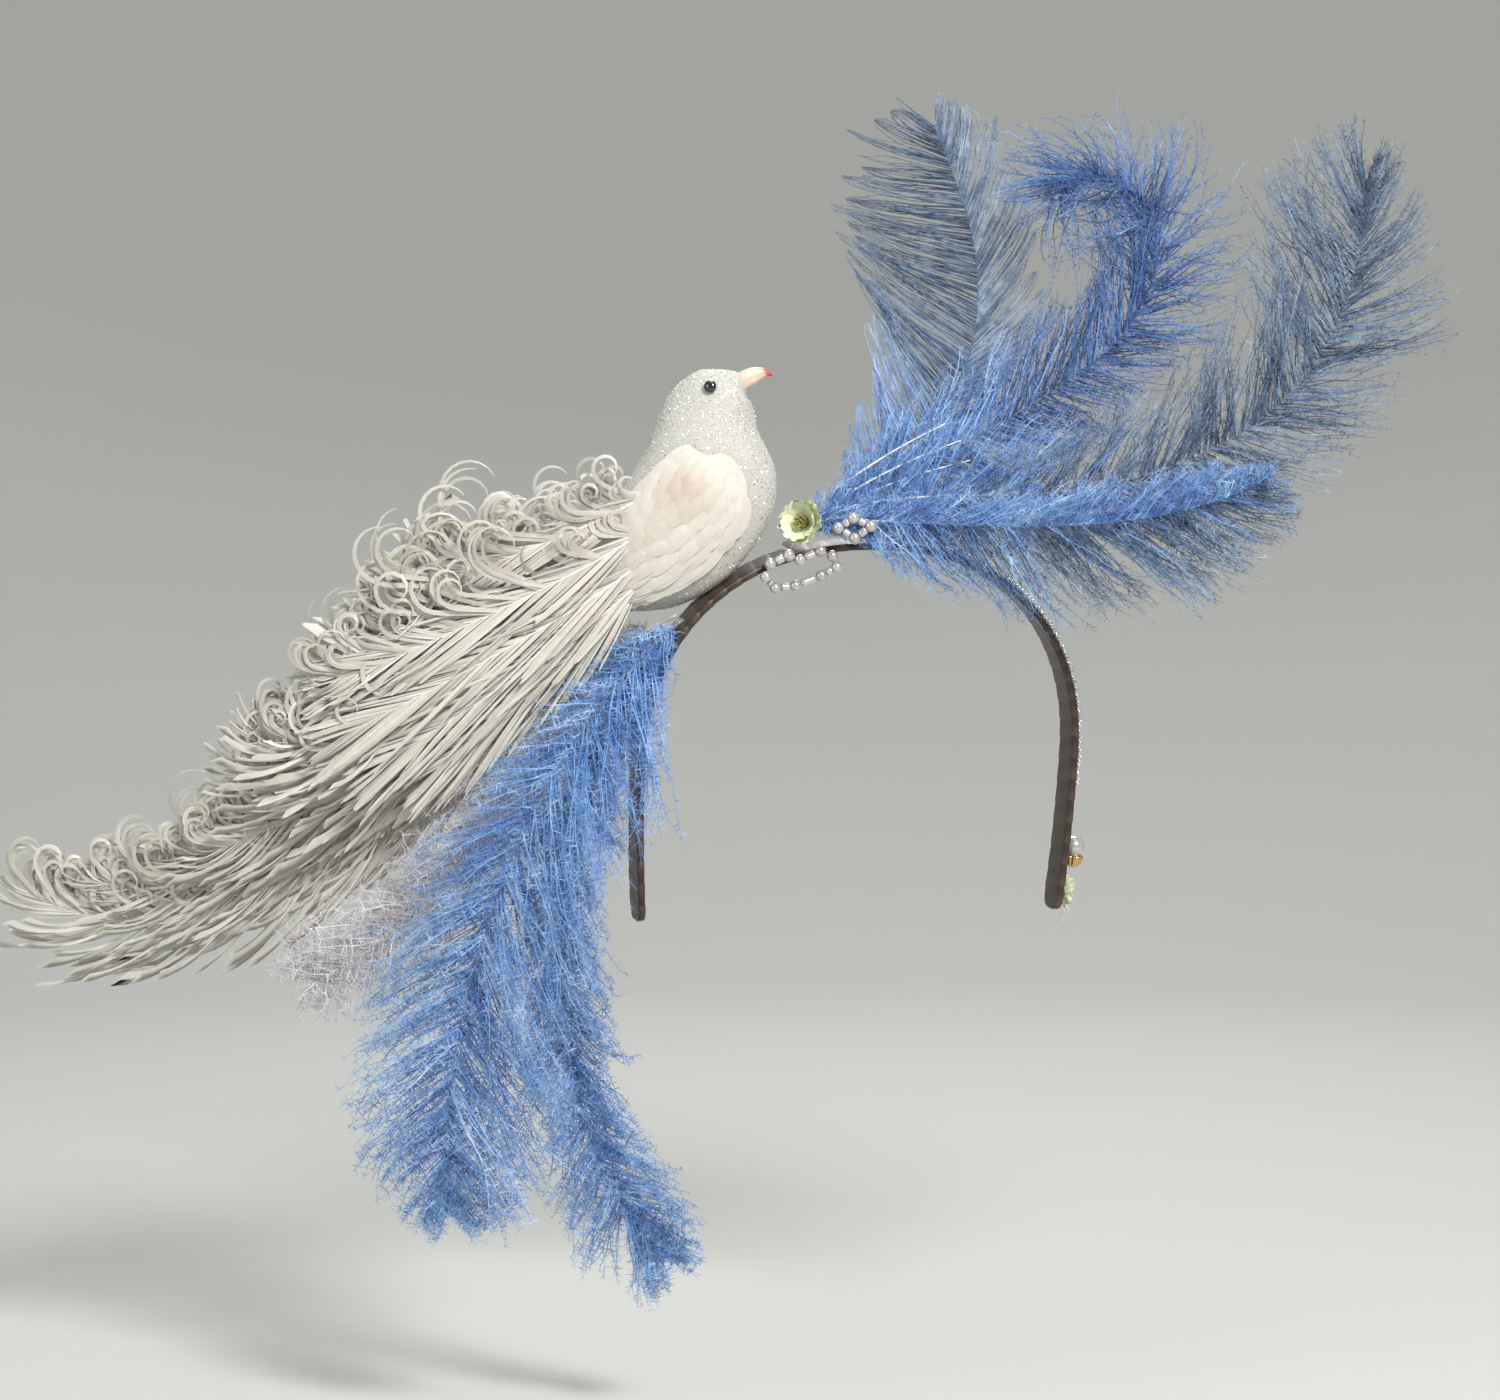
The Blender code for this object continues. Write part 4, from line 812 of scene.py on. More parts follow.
def add_sheet(soup, rng, feather, side, reach, sweep, curl, group, loose, hooks, pitch=0.00066, steps=10):
    """One side of a vane, as groups of barbs that cling together. Each group is a thin sheet in which
    every barb has a tone of its own, and a share of the groups, hooks, curls over at its end."""
    root, length, bends, bare = feather
    count = max(12, int(length * (1 - bare) / pitch))
    share = (np.arange(count) + 0.5) / count
    axes = way(root, length, bends, bare + (1 - bare) * share)
    member = np.searchsorted(np.cumsum(rng.integers(*group, count)), np.arange(count), side="right")
    long, swept, tilted, turned, toned = (rng.normal(0, 1, count)[member] for _ in range(5))
    ahead = np.clip((share - 0.80) / 0.20, 0, 1)
    reaches = reach * table(CURL_OUTLINE, share) * (1 - 0.35 * ahead)
    within = np.arange(count) - np.searchsorted(member, member)
    size = np.bincount(member)[member]
    round_off = 1 - 0.22 * np.abs(2 * (within + 0.5) / size - 1) ** 1.6
    reaches *= np.clip(1 + loose * 0.14 * long + rng.normal(0, 0.03, count), 0.5, 1.5) * round_off
    sweeps = sweep + (84 - sweep) * ahead + loose * 3.5 * swept + loose * 0.25 * (within - size / 2)
    curls = curl + loose * 10 * turned
    curls = np.where(rng.random(count)[member] < hooks, HOOK_CURL + HOOK_SPREAD * turned, curls)
    tilts = 0.02 + loose * 0.10 * tilted
    lines, _ = barb_lines(rng, axes, side, reaches, sweeps, curls, tilts, 0.03, steps)
    # Soft folds across the vane, and a slight roll of each group so that neighbours lap
    out = np.linspace(0, 1, steps)[None, :]
    fold = 0.0007 * np.sin(share[:, None] * length / 0.0045 + 2.5 * out + rng.uniform(0, 6)) * out
    fold = fold + loose * 0.00004 * within[:, None] * out
    lines = lines + fold[..., None] * axes[3][:, None]
    tone = 0.58 + 0.09 * toned + rng.normal(0, 0.15, count)
    shade = tone[:, None] + np.linspace(0.06, -0.04, steps)[None, :]
    for index in range(member[-1] + 1):
        rows = member == index
        if rows.sum() > 1:
            soup.grid(lines[rows], shade[rows])


def add_ringlets(soup, rng, feather, side, reach, pitch=0.0060, members=5):
    """Bunches of narrow strips. Each bunch runs out, then curls back over itself in one ringlet."""
    root, length, bends, bare = feather
    bunches = max(2, int(length * (1 - bare) / pitch))
    centre = (np.arange(bunches) + rng.uniform(0.2, 0.8, bunches)) / bunches

    def each(values, noise):
        return np.repeat(values, members) + rng.normal(0, noise, bunches * members)

    share = np.clip(each(centre, 0.0014 / length), 0, 1)
    axes = way(root, length, bends, bare + (1 - bare) * share)
    reaches = reach * table(CURL_OUTLINE, share) * each(rng.uniform(0.65, 1.2, bunches), 0.12)
    sweeps = each(rng.normal(56, 10, bunches), 5)
    spirals = -each(rng.uniform(170, 370, bunches), 26)
    tilts = each(rng.normal(0.08, 0.16, bunches), 0.08)
    twist = each(rng.uniform(0, 50, bunches), 12)
    add_strips(soup, rng, axes, side, reaches, sweeps, spirals, tilts, 3, 0.00080, twist, 20)


def make_curled_feather(seed, name, root, length, bends, curled, plain, bare, *nodes):
    rng = np.random.default_rng(seed)
    soup = Soup("curled_feather", "pale_shaft")
    add_shaft(soup, root, length, bends, CURL_QUILL * 0.7, bare, 0.65, 1)
    feather = (root, length, bends, bare)
    add_sheet(soup, rng, feather, 1, plain * 1.15, 64, 36, (2, 5), 0.9, 0.0)
    add_sheet(soup, rng, feather, -1, curled * 0.90, 72, -50, (2, 5), 1.2, 0.45)
    add_ringlets(soup, rng, feather, -1, curled * 1.25, 0.0045)
    soup.build(name, "curled_feather", *nodes)


def make_cover_feathers():
    """Long smooth feathers from both wings over the start of the train."""
    for name, side in (("cover_feathers_right", 1), ("cover_feathers_left", -1)):
        rng = np.random.default_rng(170 + side)
        soup = Soup("curled_feather", "pale_shaft")
        for along, across, heading, length, reach in COVER_FEATHERS:
            root = wing_skin(side, along - 0.10, across, -0.0012)[0][0]
            bends = ((0, heading + 8, 3 * side, 0), (0.25, heading, -4 * side, 0),
                     (1, heading - 5, -5 * side, 0))
            feather = (root, length, bends, 0.0)
            add_shaft(soup, root, length, bends, CURL_QUILL * 0.6, 0.0, 0.9, 1)
            for half, wide in ((1, 1.5), (-1, 1.4)):
                add_sheet(soup, rng, feather, half, reach * wide, 76, 3, (3, 10), 0.45, 0.0, 0.00068, 9)
            if across > 0.3:
                add_ringlets(soup, rng, feather, -1, reach * 1.3, 0.0095)
        soup.build(name, "curled_feather")


def blended_bends(one, other, share):
    """A bend table between two others."""
    places = np.linspace(0, 1, 9)
    first, second = (
        np.column_stack([np.interp(places, rows[:, 0], rows[:, i]) for i in (1, 2, 3)])
        for rows in (np.array(one, float), np.array(other, float))
    )
    return np.column_stack([places, first * (1 - share) + second * share])


def make_train():
    count = len(CURLED_FEATHERS)
    for index, (length, curled, plain, bare) in enumerate(CURLED_FEATHERS):
        node = f"curled_feather_{index + 1}"
        make_curled_feather(100 + index, node + "_look", curl_root(index - (count - 1) / 2), length,
                            CURL_BENDS[index], curled, plain, bare, node)
    for index, (one, other, share, length, depth) in enumerate(FILL_FEATHERS):
        bends = blended_bends(CURL_BENDS[one], CURL_BENDS[other], share)
        root = curl_root((one + other) / 2 - (count - 1) / 2 + depth)
        make_curled_feather(140 + index, f"train_feather_{index + 1}", root, length, bends, *FILL_SHAPE)


# Dove

def make_dove():
    sides = 72
    angles = np.arange(sides) * 2 * math.pi / sides
    places = np.linspace(0, len(DOVE_ROWS) - 1, 84)
    grid_places, grid_angles = np.repeat(places, sides), np.tile(angles, len(places))
    skin, _ = dove_skin(grid_places, grid_angles)
    rings = skin.reshape(len(places), sides, 3)
    for first, dome in ((True, 0.0016), (False, 0.0030)):
        centre, facing, _ = end_axes(0 if first else len(DOVE_ROWS) - 1)
        ring = rings[0] if first else rings[-1]
        turns = np.linspace(0, math.pi / 2 * 0.97, 8)[1:, None, None]
        cap = centre + (ring - centre)[None] * np.cos(turns) + facing * dome * np.sin(turns)
        rings = np.concatenate([cap[::-1], rings]) if first else np.concatenate([rings, cap])
    rng = np.random.default_rng(11)
    soup = Soup("dove_glitter", "glitter_flake")
    soup.grid(rings, 0.5, 0, True)
    tried = DOVE_FLAKES * 2
    place, angle = rng.uniform(0.1, 11.9, tried), rng.uniform(0, 2 * math.pi, tried)
    # Fewer flakes where the body is slim, so that they lie evenly
    half = dove_ribs(place)[2][:, 0]
    keep = rng.random(tried) < half / half.max()
    points, out = dove_skin(place[keep][:DOVE_FLAKES], angle[keep][:DOVE_FLAKES], 0.00008)
    add_flakes(soup, rng, points, out, 0.42, (0.00017, 0.00034), True)
    soup.build("dove_body_look", "dove_glitter", "dove_body")


def add_flakes(soup, rng, points, out, tip, sizes, turned):
    """Glitter: a small six-sided flake on each point, tipped its own way, and turned if asked."""
    count = len(points)
    one, other = square_axes(unit(out + rng.normal(0, tip, (count, 3))))
    radius = rng.uniform(*sizes, count)[:, None, None]
    turns = (np.arange(6) * math.pi / 3)[None, :, None]
    if turned:
        turns = turns + rng.uniform(0, 1, (count, 1, 1))
    corners = points[:, None] + radius * (np.cos(turns) * one[:, None] + np.sin(turns) * other[:, None])
    fan = np.array([0, 1, 2, 0, 2, 3, 0, 3, 4, 0, 4, 5])
    soup.add(corners, np.arange(count)[:, None] * 6 + fan, np.repeat(rng.uniform(0, 1, count), 6), 1)


def make_beak():
    centre, ahead, up = end_axes(0)
    places = np.linspace(0, len(BEAK_ROWS) - 1, 26)
    rows = spline(BEAK_ROWS, places)
    turns = np.arange(40) * 2 * math.pi / 40
    mouth = np.abs(np.abs(np.angle(np.exp(1j * (turns - math.pi / 2)))) - math.radians(112))
    groove = 1 - 0.16 * np.exp(-((mouth / 0.10) ** 2))
    rings = []
    for along, drop, tall, wide in rows:
        middle = centre + ahead * (SEAT_GAP + along * BEAK_LENGTH) - up * drop * BEAK_HEIGHT
        high = np.sin(turns) * groove * tall * BEAK_HEIGHT / 2
        side = np.cos(turns) * groove * wide * BEAK_WIDTH / 2
        rings.append(middle + high[:, None] * up + side[:, None] * TOWARD)
    soup = Soup("beak")
    soup.grid(np.array(rings), np.broadcast_to(rows[:, 0:1], (len(rows), 40)), 0, True)
    soup.build("dove_beak_look", "beak", "dove_beak")


def make_eyes():
    for name, side in (("dove_eye_right", 1), ("dove_eye_left", -1)):
        point, out = dove_skin([EYE_ROW], [side * EYE_ANGLE])
        soup = Soup("eye")
        centre = point[0] + out[0] * (SEAT_GAP + EYE_DEPTH * 0.7)
        add_ball(soup, centre, out[0], EYE_RADIUS, EYE_DEPTH * 1.3, 20, 32)
        soup.build(name + "_look", "eye", name)


def wing_skin(side, along, across, lift):
    """Points and outward directions on a wing's outer face, along 0 to 1 and across -1 to 1."""
    rows = spline(WING_ROWS, np.atleast_1d(along) * (len(WING_ROWS) - 1))
    angle = side * (math.radians(96) + np.radians(rows[:, 1]) * np.asarray(across, float))
    _, tailward, _ = end_axes(len(DOVE_ROWS) - 1)
    thick = WING_THICK * (1 - 0.72 * np.square(across))
    thick = thick * np.clip(0.25 + np.atleast_1d(along) / 0.25, 0, 1)
    points, out = dove_skin(rows[:, 0], angle, SEAT_GAP + rows[:, 3] * thick)
    tail = rows[:, 2:3]
    away = tailward * WING_TAIL * tail + TOWARD * side * WING_THICK * tail * 1.5
    return points + away + out * np.reshape(lift, (-1, 1)), out


def add_blade(soup, rng, side, start, end, across, half, lift, splits, tone):
    """A small vane laid on the wing from one place along it to another, with a raised shaft and a few
    splits in its edge."""
    steps, columns = 12, 8
    share = np.linspace(0, 1, steps)
    along = start + (end - start) * share
    middle, out = wing_skin(side, along, across[0] + (across[1] - across[0]) * share,
                            lift + 0.0006 * np.sin(math.pi * np.clip(share * 1.1, 0, 1)))
    run = unit(np.gradient(middle, axis=0))
    beside = unit(np.cross(out, run))
    outline = np.sin(math.pi * np.clip(0.16 + 0.84 * share, 0, 1)) ** 0.62
    outline[-1] = 0.06
    place = np.linspace(-1, 1, columns)
    wide = half * outline[:, None] * place[None, :]
    for _ in range(splits):
        where, edge = rng.uniform(0.35, 0.9), rng.choice([-1, 1])
        near = np.exp(-(((share - where) / 0.035) ** 2))[:, None]
        notch = near * np.clip(place * edge, 0, 1)[None, :] ** 2
        wide *= 1 - 0.30 * notch
    fall = -(wide**2) / 0.030 + 0.00018 * np.exp(-((place / 0.16) ** 2))[None, :]
    points = middle[:, None] + wide[..., None] * beside[:, None] + fall[..., None] * out[:, None]
    # Lighter along the middle: the pale shaft, with a painted highlight on its raised line
    shade = tone + 0.12 * np.exp(-((place / 0.14) ** 2))[None, :] + rng.normal(0, 0.03, (steps, 1))
    soup.grid(points, shade)


def make_wings():
    for name, side in (("dove_wing_right", 1), ("dove_wing_left", -1)):
        rng = np.random.default_rng(21 if side > 0 else 22)
        soup = Soup("dove_feather", "glitter_flake")
        rows, columns = 60, 28
        flat = np.repeat(np.linspace(0, 1, rows), columns), np.tile(np.linspace(-1, 1, columns), rows)
        outer, inner = (
            wing_skin(side, *flat, lift)[0].reshape(rows, columns, 3) for lift in (-0.0004, -0.0016)
        )
        shell = np.concatenate([outer, inner[:, ::-1]], axis=1)
        soup.grid(shell, 0.45, 0, True)
        # Long feathers at the back first, then rows of small ones towards the shoulder
        for index in range(9):
            where = -0.8 + 1.6 * index / 8
            add_blade(soup, rng, side, 0.50, 1.0 - 0.05 * abs(where), (where, where * 0.45), 0.0036,
                      0.0001, 4, 0.66 + rng.normal(0, 0.04))
        for row in range(11):
            start = 0.62 - 0.062 * row
            count = 8 if row % 2 else 7
            for index in range(count):
                where = -0.98 + 1.96 * (index + 0.5 * (row % 2 == 0)) / (count - 0.5 * (row % 2))
                where += rng.normal(0, 0.05)
                first = max(start + rng.normal(0, 0.015), 0.0)
                tinge = math.exp(-(((first - 0.12) / 0.13) ** 2) - ((where - 0.1) / 0.5) ** 2)
                tinge += 0.8 * math.exp(-(((first - 0.38) / 0.10) ** 2) - ((where - 0.35) / 0.35) ** 2)
                add_blade(soup, rng, side, first, min(first + 0.20, 0.98), (where, where), 0.0032,
                          0.0002 + 0.00005 * row, 2, 0.68 - 0.40 * tinge + rng.normal(0, 0.03))
        along, across = rng.uniform(0.02, 0.95, WING_FLAKES), rng.uniform(-0.97, 0.97, WING_FLAKES)
        add_flakes(soup, rng, *wing_skin(side, along, across, 0.0009), 0.3, (0.00010, 0.00020), False)
        soup.build(name + "_look", "dove_feather", name)


# Band, beads, pearls and flowers

def make_headband():
    """Satin ribbon wound on the band: every turn laps over the one before, on a slant."""
    half = BAND_WIDTH / 2
    corner = np.linspace(0, 2 * math.pi, 20, endpoint=False)
    squared = [np.sign(value) * np.abs(value) ** 0.28 for value in (np.cos(corner), np.sin(corner))]
    front = squared[0] * half
    out = BAND_THICK / 2 + squared[1] * (BAND_THICK / 2 - 0.00018)
    rings, shades = [], []
    end_round = BAND_WIDTH / 2 / BAND_ARM * (1 - ARCH_SHARE)
    for share in np.linspace(-1, 1, RIBBON_TURNS * 8):
        point, outward, _ = band_axes(share)
        left = min((1 - abs(share)) / end_round, 1.0)
        wide = 0.45 + 0.55 * math.sqrt(max(0.0, 1 - (1 - left) ** 2))
        phase = share * RIBBON_TURNS / 2 + front / half * 0.18
        lap = phase - np.floor(phase)
        swell = 0.00030 * np.clip(lap, 0, 1) ** 0.5
        spread = 1 + swell / half
        rings.append(point + np.outer(out + (out / BAND_THICK - 0.5) * 2 * swell, outward)
                     + np.outer(front * wide * spread, BAND_FRONT))
        # Painted shade and light on the laps: each turn is darker at its low end and lighter towards its
        # raised edge
        shades.append(0.2 + 0.7 * lap)
    soup = Soup("band_satin")
    soup.grid(np.array(rings), np.array(shades), 0, True)
    soup.build("headband_look", "band_satin", "headband")


def make_trim():
    """Seed beads in short scallops along the outer face, with thread between the groups."""
    soup = Soup("seed_bead", "silver_tube")
    rng = np.random.default_rng(31)
    groups = 19
    for group in range(groups):
        middle = TRIM_START + (TRIM_END - TRIM_START) * (group + 0.5) / groups
        count = 3 + group % 2
        for bead in range(count):
            share = middle + (bead - (count - 1) / 2) * 0.0088
            arch = 0.0010 * (1 - ((bead - (count - 1) / 2) / (count / 2)) ** 2)
            front = TRIM_FRONT + 0.0012 + arch + rng.normal(0, 0.0001)
            centre = band_point(share, BAND_THICK + 0.0007, front)
            axis = unit(band_axes(share)[2] + rng.normal(0, 0.25, 3))
            radius = BEAD_RADIUS * rng.uniform(0.9, 1.1)
            add_ball(soup, centre, axis, radius, BEAD_DEPTH, 7, 10, rng.uniform(0.2, 0.9))
    shares = np.linspace(TRIM_START, TRIM_END, 160)
    line = np.array([band_point(share, BAND_THICK + 0.0003, TRIM_FRONT + 0.0015) for share in shares])
    add_tube(soup, line, 0.00012, 5, 0.4, 1)
    soup.build("band_bead_trim_look", "seed_bead", "band_bead_trim")


def pearl_string(seed, name, centre, across, upward, length, height, places):
    """Pearls with a silver thread between each pair and, where the gap allows, a small tube bead of pearl
    with two fine rims.
    """
    rng = np.random.default_rng(seed)
    soup = Soup("pearl", "silver_tube")
    middles = [centre + across * along * length + upward * up * height for along, up in places]
    for index, middle in enumerate(middles):
        after = middles[(index + 1) % len(middles)]
        run = unit(after - middle)
        axis, radius = unit(run + rng.normal(0, 0.2, 3)), PEARL_RADIUS * 1.06
        add_ball(soup, middle, axis, radius, radius, 22, 32, rng.uniform(0.3, 0.7))
        gap = np.linalg.norm(after - middle) - 2 * PEARL_RADIUS
        line = np.linspace(middle, after, 6)
        add_tube(soup, line, 0.00035, 8, 0.4, 1)
        if gap > 0.0008:
            bead = (middle + after) / 2
            half = gap / 2 - 0.0001
            profile = [(-half, 0.0008), (-half * 0.85, 0.00135), (-half * 0.5, 0.00130), (0, 0.0014),
                       (half * 0.5, 0.00130), (half * 0.85, 0.00135), (half, 0.0008)]
            add_turned(soup, bead, run, profile, 20, 0.6)
    soup.build(name + "_look", "pearl", name)


def front_quill(place):
    point = way(plume_root("top", 1.5), FRONT_PLUME_LENGTH, TOP_BENDS[3], [place])[0][0]
    return point + TOWARD * (PLUME_QUILL / 2 + SEAT_GAP)


def make_pearls():
    centre = band_point(BUCKLE_SEAT, BAND_THICK / 2, BAND_WIDTH / 2 + SEAT_GAP + PEARL_RADIUS)
    centre = centre + BAND_DOWN * BUCKLE_DROP
    pearl_string(41, "pearl_buckle", centre, np.array([1.0, 0, 0]), -BAND_DOWN, BUCKLE_LENGTH,
                 BUCKLE_HEIGHT, BUCKLE_PEARLS)
    centre = front_quill(LOOP_PLACE) + TOWARD * (SEAT_GAP + PEARL_RADIUS) - UP * LOOP_DROP
    pearl_string(42, "pearl_loop", centre, SIDE, UP, LOOP_LENGTH, LOOP_HEIGHT, LOOP_PEARLS)


def add_petal(soup, rng, centre, facing, out, radius, wide, cup, ruffle, tone):
    across = np.cross(facing, out)
    steps, columns = 14, 13
    share = np.linspace(0, 1, steps)[:, None]
    place = np.linspace(-1, 1, columns)[None, :]
    half = wide * np.sin(math.pi * (0.10 + 0.74 * share)) ** 0.7
    edge = 1 - 0.10 * place**2 + 0.04 * np.cos(place * 5 + rng.uniform(0, 6))
    far = 0.0008 + (radius - 0.0008) * share * edge
    phase = rng.uniform(0, 2 * math.pi)
    rise = cup * share**1.7 + 0.35 * half * place**2 * share
    rise = rise + ruffle * share**2 * np.sin(place * 6 + phase)
    rise = rise + 0.0002 * rng.normal(0, 1, (steps, 1)) * share
    points = (
        centre + far[..., None] * out + (half * place)[..., None] * across
        + np.broadcast_to(rise, (steps, columns))[..., None] * facing
    )
    shade = tone + 0.30 * share - 0.10 * np.exp(-((place / 0.12) ** 2)) + np.zeros((steps, columns))
    back = points - facing * 0.00012
    soup.grid(points, shade)
    soup.grid(back[:, ::-1], shade - 0.08)
    rim = np.concatenate([points[:, 0], points[-1], points[::-1, -1]])
    under = np.concatenate([back[:, 0], back[-1], back[::-1, -1]])
    soup.grid(np.stack([rim, under]), tone + 0.4)


def make_flower():
    rng = np.random.default_rng(51)
    back = front_quill(FLOWER_PLACE) + UP * FLOWER_RISE
    facing = unit(TOWARD - SIDE * 0.55 + UP * 0.12)
    one, other = square_axes(facing)
    soup = Soup("petal")
    for layer, (count, radius, cup) in enumerate(((6, 0.0078, 0.0026), (5, 0.0062, 0.0042))):
        for index in range(count):
            turn = 2 * math.pi * (index + 0.5 * layer) / count + rng.normal(0, 0.1)
            out = math.cos(turn) * one + math.sin(turn) * other
            add_petal(soup, rng, back + facing * (0.0009 + 0.0006 * layer), facing, out,
                      radius * rng.uniform(0.92, 1.06), 0.0040, cup, 0.0006, 0.40 + 0.1 * layer)
    add_turned(soup, back, facing, [(0, 0.0018), (0.0006, 0.0022), (0.0014, 0.0016)], 20, 0.25)
    soup.build("flower_petals_look", "petal", "flower_petals")
    soup = Soup("flower_centre")
    middle = back + facing * 0.0014
    add_ball(soup, middle + facing * 0.0006, facing, 0.0021, 0.0014, 12, 20, 0.25)
    for _ in range(70):
        turn, far = rng.uniform(0, 2 * math.pi), math.sqrt(rng.uniform(0, 1))
        lean = unit(facing + (math.cos(turn) * one + math.sin(turn) * other) * far * 0.85)
        foot = middle + lean * 0.0008
        tip = middle + lean * rng.uniform(0.0026, 0.0038)
        add_tube(soup, np.linspace(foot, tip, 4), 0.00010, 5, 0.45)
        add_ball(soup, tip, lean, 0.00028, 0.00036, 6, 8, rng.uniform(0.4, 1.0))
    soup.build("flower_centre_look", "flower_centre", "flower_centre")


BARE_QUILLS = (
    # start and end across and up from the crown seat, and how far each end stands to the front
    (-0.0110, 0.0190, 0.0085, 0.0250, 0.0405, 0.0110),
    (-0.0090, 0.0165, 0.0090, 0.0300, 0.0350, 0.0120),
    (-0.0080, 0.0145, 0.0090, 0.0330, 0.0285, 0.0125),
)


def make_quills():
    """Pale bare quills that fan out from behind the flower."""
    soup = Soup("pale_shaft")
    for across, rise, front, far_across, far_rise, far_front in BARE_QUILLS:
        share = np.linspace(0, 1, 24)[:, None]
        start = SIDE * across + UP * rise + TOWARD * front
        end = SIDE * far_across + UP * far_rise + TOWARD * far_front
        line = start + (end - start) * share + UP * 0.0012 * np.sin(math.pi * share)
        add_tube(soup, line, np.linspace(0.00042, 0.00018, 24), 8, 0.9)
    soup.build("bare_quills", "white_plume")


def make_side_drop():
    """The pearl, its ribbed gold cap, and silk petals with loose strands below."""
    point, outward, run = band_axes(SIDE_SEAT)
    face = point + outward * (BAND_THICK + SEAT_GAP)
    soup = Soup("pearl")
    centre = face + outward * SIDE_PEARL_RADIUS
    add_ball(soup, centre, run, SIDE_PEARL_RADIUS, SIDE_PEARL_RADIUS, 36, 48, 0.6)
    soup.build("side_pearl_look", "pearl", "side_pearl")
    top = centre + run * (SIDE_PEARL_RADIUS * 0.80)
    share = np.linspace(0, 1, 16)
    radii = SIDE_CAP_RADIUS * np.interp(
        share, [0, 0.15, 0.35, 0.7, 0.9, 1], [0.93, 1.0, 0.97, 0.80, 0.5, 0.3])
    soup = Soup("gold")
    add_turned(soup, top, run, np.column_stack([share * SIDE_CAP_HEIGHT, radii]), 72, 0.5, 12, 0.05)
    soup.build("side_pearl_cap_look", "gold", "side_pearl_cap")
    rng = np.random.default_rng(61)
    _, flower_out, flower_run = band_axes(SIDE_FLOWER_SEAT)
    centre = band_point(SIDE_FLOWER_SEAT, BAND_THICK + SEAT_GAP)
    one, other = square_axes(flower_out)
    soup = Soup("petal")
    for index in range(5):
        turn = 2 * math.pi * index / 5 + rng.normal(0, 0.1)
        out = math.cos(turn) * one + math.sin(turn) * other
        add_petal(soup, rng, centre + flower_out * 0.0004, unit(flower_out), out,
                  SIDE_FLOWER_RADIUS * rng.uniform(0.85, 1.0), 0.0030, 0.0026, 0.0005, 0.45)
    for _ in range(9):
        heading = unit(flower_run + flower_out * rng.uniform(0.1, 0.7) + BAND_FRONT * rng.normal(0, 0.35))
        line = centre + np.outer(np.linspace(0, rng.uniform(0.007, 0.012), 8), heading)
        line = line + np.outer(np.linspace(0, 1, 8) ** 2, rng.normal(0, 0.0012, 3))
        add_tube(soup, line, np.linspace(0.00014, 0.00006, 8), 5, 0.75)
    soup.build("side_flower_look", "petal", "side_flower")


# Stage

def make_stage():
    """A pale round room whose floor bends up into its wall, so that no edge shows from any side."""
    bend = np.linspace(0, math.pi / 2, 24)
    profile = [(0.0001, FLOOR_LEVEL), (0.5, FLOOR_LEVEL), (ROOM_RADIUS - ROOM_BEND, FLOOR_LEVEL)]
    profile += [
        (ROOM_RADIUS - ROOM_BEND + ROOM_BEND * math.sin(t), FLOOR_LEVEL + ROOM_BEND * (1 - math.cos(t)))
        for t in bend[1:]
    ]
    profile.append((ROOM_RADIUS, ROOM_HEIGHT))
    turns = np.arange(96) * 2 * math.pi / 96
    points = np.array([[(r * math.cos(t), r * math.sin(t), z) for t in turns] for r, z in profile])
    index = np.arange(points.shape[0] * 96).reshape(-1, 96)
    after = np.roll(index, -1, axis=1)
    faces = np.stack([index[:-1], after[:-1], after[1:], index[1:]], axis=-1).reshape(-1, 4).tolist()
    mesh = bpy.data.meshes.new("stage")
    mesh.from_pydata(points.reshape(-1, 3).tolist(), [], faces)
    mesh.shade_smooth()
    mesh.materials.append(FINISHES["stage"])
    stage = bpy.data.objects.new("stage", mesh)
    bpy.context.scene.collection.objects.link(stage)


def view_axes(turn, rise):
    """The ways from the aim to the viewer, to the viewer's right and up."""
    back = np.array([math.sin(turn) * math.cos(rise), -math.cos(turn) * math.cos(rise), math.sin(rise)])
    right = np.array([math.cos(turn), math.sin(turn), 0.0])
    return back, right, np.cross(back, right)


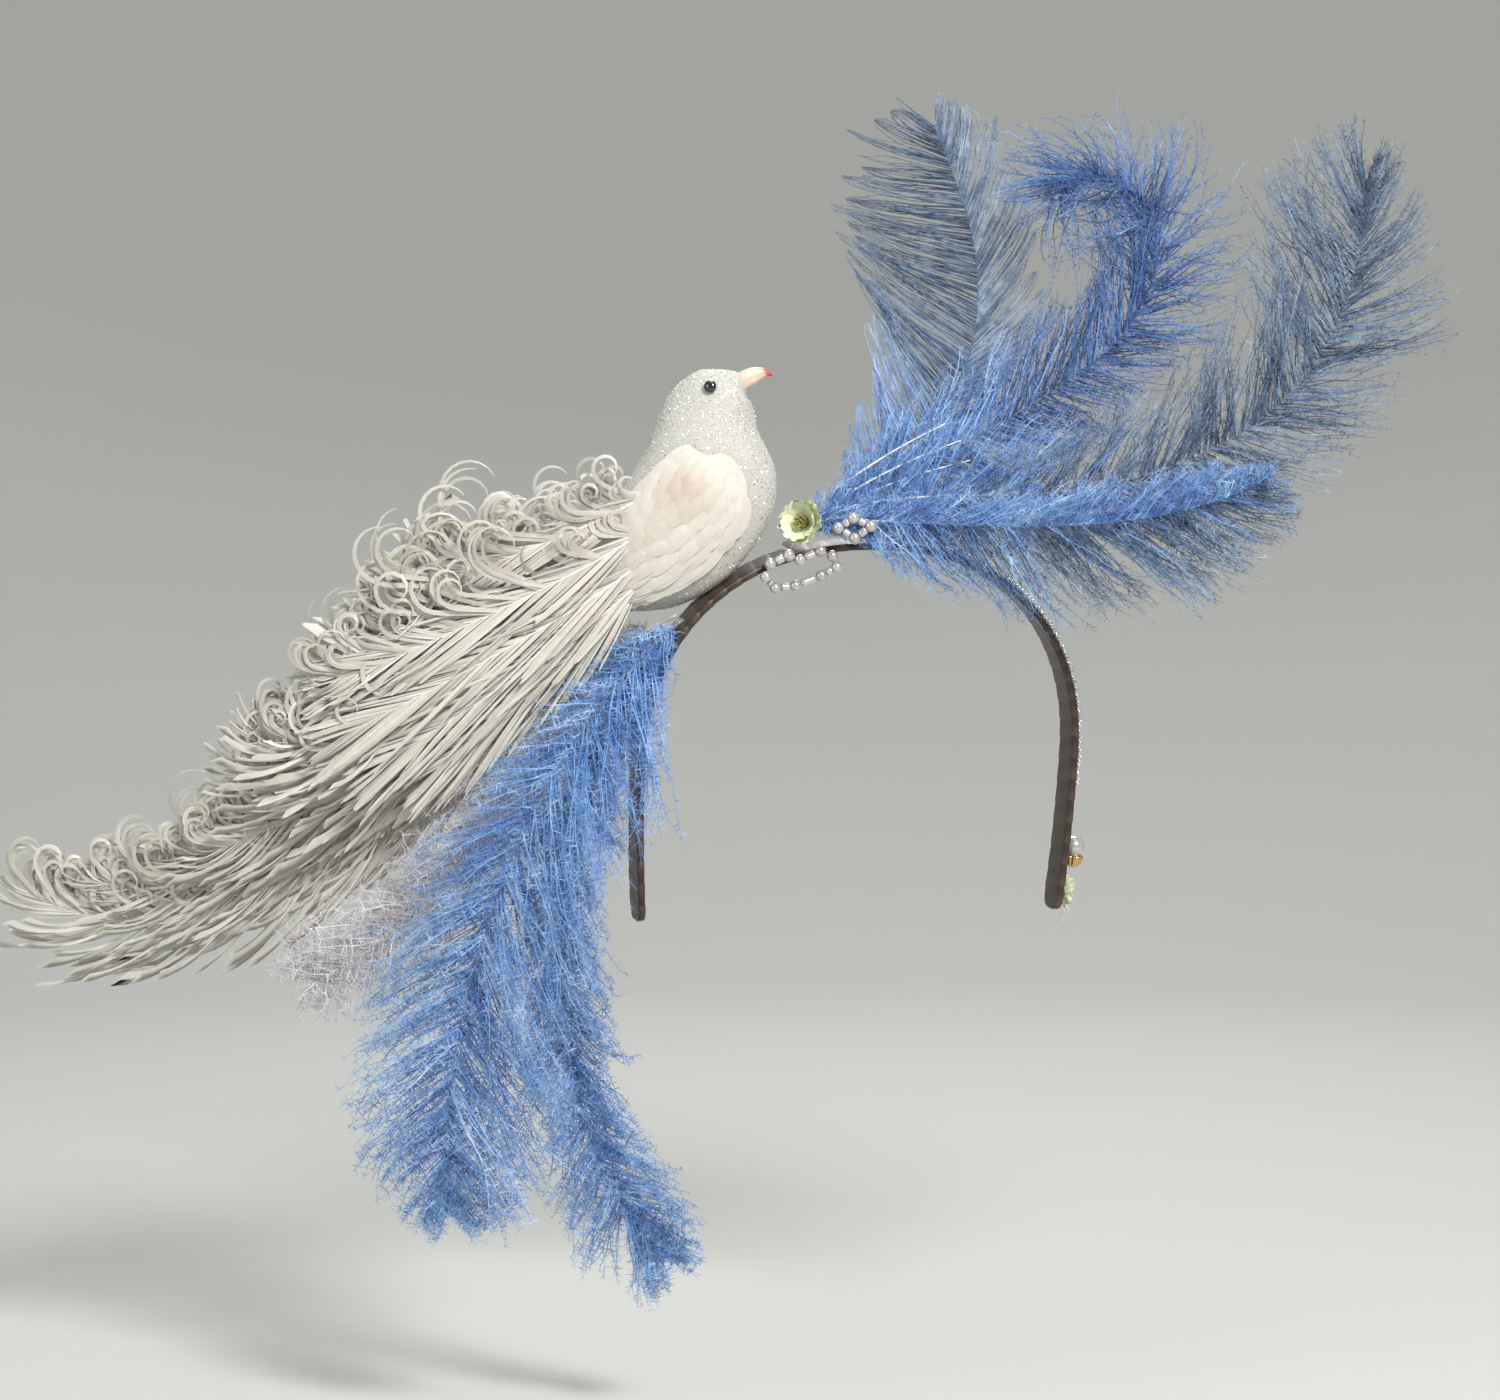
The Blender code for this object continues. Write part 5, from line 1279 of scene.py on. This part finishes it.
def placed_matrix(back, right, up, where):
    return Matrix([[right[i], up[i], back[i], where[i]] for i in range(3)] + [[0, 0, 0, 1]])


def make_camera():
    back, right, up = view_axes(VIEW_TURN, VIEW_RISE)
    camera = bpy.data.cameras.new("camera")
    camera.sensor_fit, camera.sensor_width = "HORIZONTAL", SENSOR
    camera.lens = SENSOR * VIEW_DISTANCE / VIEW_SPAN
    camera.clip_start, camera.clip_end = 0.05, 20.0
    obj = bpy.data.objects.new("camera", camera)
    place = right * AIM_ACROSS + up * AIM_UP + back * VIEW_DISTANCE
    obj.matrix_world = placed_matrix(back, right, up, place)
    bpy.context.scene.collection.objects.link(obj)
    bpy.context.scene.camera = obj


LIGHTS = (
    # name, turn and rise about the object in degrees, distance, size, watts, colour
    ("key", 8, 36, 1.5, 0.40, 30.0, (1.0, 0.985, 0.96)),
    ("fill", -75, 18, 1.6, 1.0, 6.0, (0.95, 0.98, 1.0)),
    ("rim", 160, 42, 1.5, 0.6, 12.0, (1.0, 1.0, 1.0)),
    ("top", -20, 80, 1.6, 1.0, 6.0, (1.0, 1.0, 1.0)),
)


def make_lights():
    for name, turn, rise, distance, size, watts, colour in LIGHTS:
        back, right, up = view_axes(math.radians(turn), math.radians(rise))
        light = bpy.data.lights.new(name, "AREA")
        light.shape, light.size, light.energy, light.color = "DISK", size, watts, colour
        obj = bpy.data.objects.new(name, light)
        obj.matrix_world = placed_matrix(back, right, up, back * distance)
        bpy.context.scene.collection.objects.link(obj)
    world = bpy.data.worlds.new("world")
    world.use_nodes = True
    background = world.node_tree.nodes["Background"].inputs
    background["Color"].default_value = WORLD_COLOUR
    background["Strength"].default_value = WORLD_STRENGTH
    bpy.context.scene.world = world
    bpy.context.scene.view_settings.view_transform = "Standard"


make_camera()
make_lights()
make_stage()
make_headband()
make_trim()
make_dove()
make_beak()
make_eyes()
make_wings()
make_train()
make_cover_feathers()
for number, plume in enumerate(PLUMES):
    make_plume(200 + number, plume)
make_flower()
make_pearls()
make_quills()
make_side_drop()
